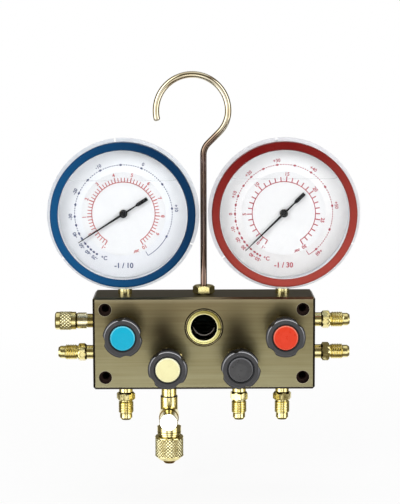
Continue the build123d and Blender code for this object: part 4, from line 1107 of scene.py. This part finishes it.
def filling(gauge, level, finish, line_finish):
    """The air space above the liquid, as a faint film of painted shade behind the window, and the liquid's
    edge.
    """
    centre = gauge_centre(gauge)
    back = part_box(gauge + "_lens")[1].y + 0.25 * MM
    half = math.degrees(math.asin(level / WINDOW_R))
    builder = bmesh.new()
    rim = [polar(WINDOW_R, half + (180 - 2 * half) * n / ARC_STEPS) for n in range(ARC_STEPS + 1)]
    front = [builder.verts.new((centre.x + x * MM, back, centre.z + y * MM)) for x, y in rim]
    builder.faces.new(front)
    name = gauge + "_air_space"
    mesh_object(name, finished(builder, name), finish, "manifold")
    builder = bmesh.new()
    reach = WINDOW_R * math.cos(math.radians(half))
    pairs = []
    for n in range(EDGE_STEPS + 1):
        x = -reach + 2 * reach * n / EDGE_STEPS
        curl = CURL_RISE * max(0.0, abs(x) - reach + CURL_REACH) ** 2 / CURL_REACH ** 2
        heights = (level + side * EDGE_HALF + curl for side in (-1, 1))
        spots = [(centre.x + x * MM, back + 0.1 * MM, centre.z + z * MM) for z in heights]
        pairs.append([builder.verts.new(spot) for spot in spots])
    for (low, high), (next_low, next_high) in zip(pairs, pairs[1:]):
        builder.faces.new((low, next_low, next_high, high))
    name = gauge + "_liquid_edge"
    mesh_object(name, finished(builder, name), line_finish, "manifold")


def film(name, colour, alpha):
    """A faint see-through tone."""
    paint = Paint(name, Alpha=alpha)
    drift = paint.noise(60, detail=3)
    paint.show(paint.ramp(drift, (0.3, colour), (0.8, tuple(c * 1.15 for c in colour))))
    paint.rough(drift, 0.25, 0.4)
    paint.bump(drift, 0.05, 0.0001)
    return paint.material


# painted shade: a faint grey film over the air space above the liquid
AIR = film("air_space", (0.50, 0.50, 0.52), 0.05)
EDGE = film("liquid_edge", (0.30, 0.30, 0.32), 0.28)
filling("low", 24.6, AIR, EDGE)
filling("high", 25.6, AIR, EDGE)


# ---- Camera ----
def camera():
    """The photo's view; angles in radians, the place in metres."""
    data = bpy.data.cameras.new("camera")
    data.lens, data.sensor_width = 118.49, 36.0
    data.clip_start, data.clip_end = 0.05, 50
    made = linked("camera", data)
    yaw, pitch, roll = 0.0023, 0.1246, -0.003
    right = Vector((math.cos(yaw), -math.sin(yaw), 0))
    ahead = Vector((math.sin(yaw) * math.cos(pitch), math.cos(yaw) * math.cos(pitch), -math.sin(pitch)))
    up = right.cross(ahead)
    rolled_right = math.cos(roll) * right + math.sin(roll) * up
    rolled_up = math.cos(roll) * up - math.sin(roll) * right
    place = (-0.00545, -1.2109, 0.2163)
    turned = Matrix((rolled_right, rolled_up, -ahead)).transposed().to_4x4()
    made.matrix_world = Matrix.Translation(place) @ turned
    bpy.context.scene.camera = made


# ---- Studio ----
CAP_ROOM = 19 * MM  # the way the bottom cap needs to slide off, and a little more
DARK = 0.15  # the brightness of the studio's walls, as metal sees them


def floor():
    """A white floor, low enough for the bottom cap to come off, that keeps the object's shadow."""
    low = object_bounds()[0][2] - CAP_ROOM
    builder = bmesh.new()
    bmesh.ops.create_grid(builder, x_segments=8, y_segments=8, size=3.0)
    bmesh.ops.translate(builder, verts=builder.verts, vec=(0, 0, low - 0.0002))
    made = linked("floor", mesh_of(builder, "floor"))
    paint = Paint("floor_paper")
    fibre = paint.noise(90, detail=4)
    paint.show(paint.ramp(fibre, (0.3, 0.90), (0.7, 0.93)))
    paint.rough(fibre, 0.85, 0.95)
    paint.bump(fibre, 0.05, 0.0002)
    glow = paint.node("Emission", {"Color": (1, 1, 1), "Strength": 1.0})
    rays = paint.node("LightPath").outputs
    seen = paint.math("MAXIMUM", rays["Is Camera Ray"], rays["Is Glossy Ray"])
    seen = paint.math("MAXIMUM", seen, rays["Is Transmission Ray"])
    far = paint.node("VectorMath", {0: paint.place}, operation="LENGTH").outputs["Value"]
    share = paint.times(seen, paint.span(far, 0.15, 0.7, 0.88, 1.0))
    paint.blend(share, glow)
    made.data.materials.append(paint.material)
    made.visible_glossy = False
    made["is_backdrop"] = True


def world():
    """White to the camera; to metal, a studio with soft boxes, dark walls and a white backdrop."""
    made = bpy.data.worlds.new("studio")
    bpy.context.scene.world = made
    made.use_nodes = True
    made.node_tree.nodes.clear()
    sky = Nodes(made.node_tree)

    def smooth(value, low, high):
        return sky.span(value, low, high, interpolation_type="SMOOTHSTEP")

    def band(value, low, high, edge):
        """1 from low to high, with soft edges."""
        falling = smooth(value, high - edge, high + edge)
        return sky.times(smooth(value, low - edge, low + edge), sky.less(1.0, falling))

    direction = sky.node("TexCoord").outputs["Generated"]
    split = sky.node("SeparateXYZ", {0: direction}).outputs
    # Degrees to the right of the reader's side, and degrees above the horizon.
    turn = sky.times(sky.math("ARCTAN2", split["X"], sky.times(split["Y"], -1.0)), 180 / math.pi)
    rise = sky.times(sky.math("ARCSINE", split["Z"]), 180 / math.pi)
    level = DARK
    boxes = (  # turns, rises, softness of the edges, strength
        ((-19, 19), (-42, 4), 4, 1.1),  # the pale table before the object
        ((-5, 3), (-16.5, -11.8), 0.8, 4.5),  # a small lamp low down
        ((-76, -29), (-38, 55), 6, 2.9),
        ((38, 74), (-38, 45), 6, 2.4),
        ((-200, 200), (58, 100), 8, 0.9),
    )
    for turns, rises, edge, strength in boxes:
        patch = sky.times(band(turn, *turns, edge), band(rise, *rises, edge))
        level = sky.math("MAXIMUM", level, sky.times(patch, strength))
    backdrop = sky.times(smooth(sky.math("ABSOLUTE", turn), 138, 150), sky.less(1.0, smooth(rise, 1.5, 5.0)))
    level = sky.math("MAXIMUM", level, backdrop)
    tint = sky.mix(sky.span(level, DARK, 0.8), (1.0, 0.88, 0.62), (1.0, 0.985, 0.96))
    studio = sky.node("Background", {"Color": tint, "Strength": level})
    white = sky.node("Background", {"Color": (1, 1, 1), "Strength": 1.0})
    lit = sky.node("Background", {"Color": (1, 1, 1), "Strength": 0.62})
    rays = sky.node("LightPath").outputs
    shiny = sky.math("MAXIMUM", rays["Is Glossy Ray"], rays["Is Transmission Ray"])
    unseen = sky.node("MixShader", {0: shiny, 1: lit.outputs[0], 2: studio.outputs[0]})
    shaders = {0: rays["Is Camera Ray"], 1: unseen.outputs[0], 2: white.outputs[0]}
    sky.node("OutputWorld", {"Surface": sky.node("MixShader", shaders).outputs[0]})


def lamp(name, place, target, size, power):
    """A round soft lamp, aimed at target, that no metal mirrors."""
    data = bpy.data.lights.new(name, "AREA")
    data.shape, data.size, data.energy = "DISK", size, power
    made = linked(name, data)
    made.location = place
    made.rotation_euler = (Vector(target) - Vector(place)).to_track_quat("-Z", "Y").to_euler()
    made.visible_glossy = False


camera()
floor()
world()
lamp("key", (-0.6, -1.3, 0.8), (0, 0, 0.05), 0.8, 8)
lamp("fill", (0.8, -1.3, 0.3), (0, 0, 0.05), 0.9, 6.5)
lamp("top", (0, 0.0, 1.3), (0, 0, 0), 0.9, 3)
bpy.context.scene.view_settings.view_transform = "Standard"
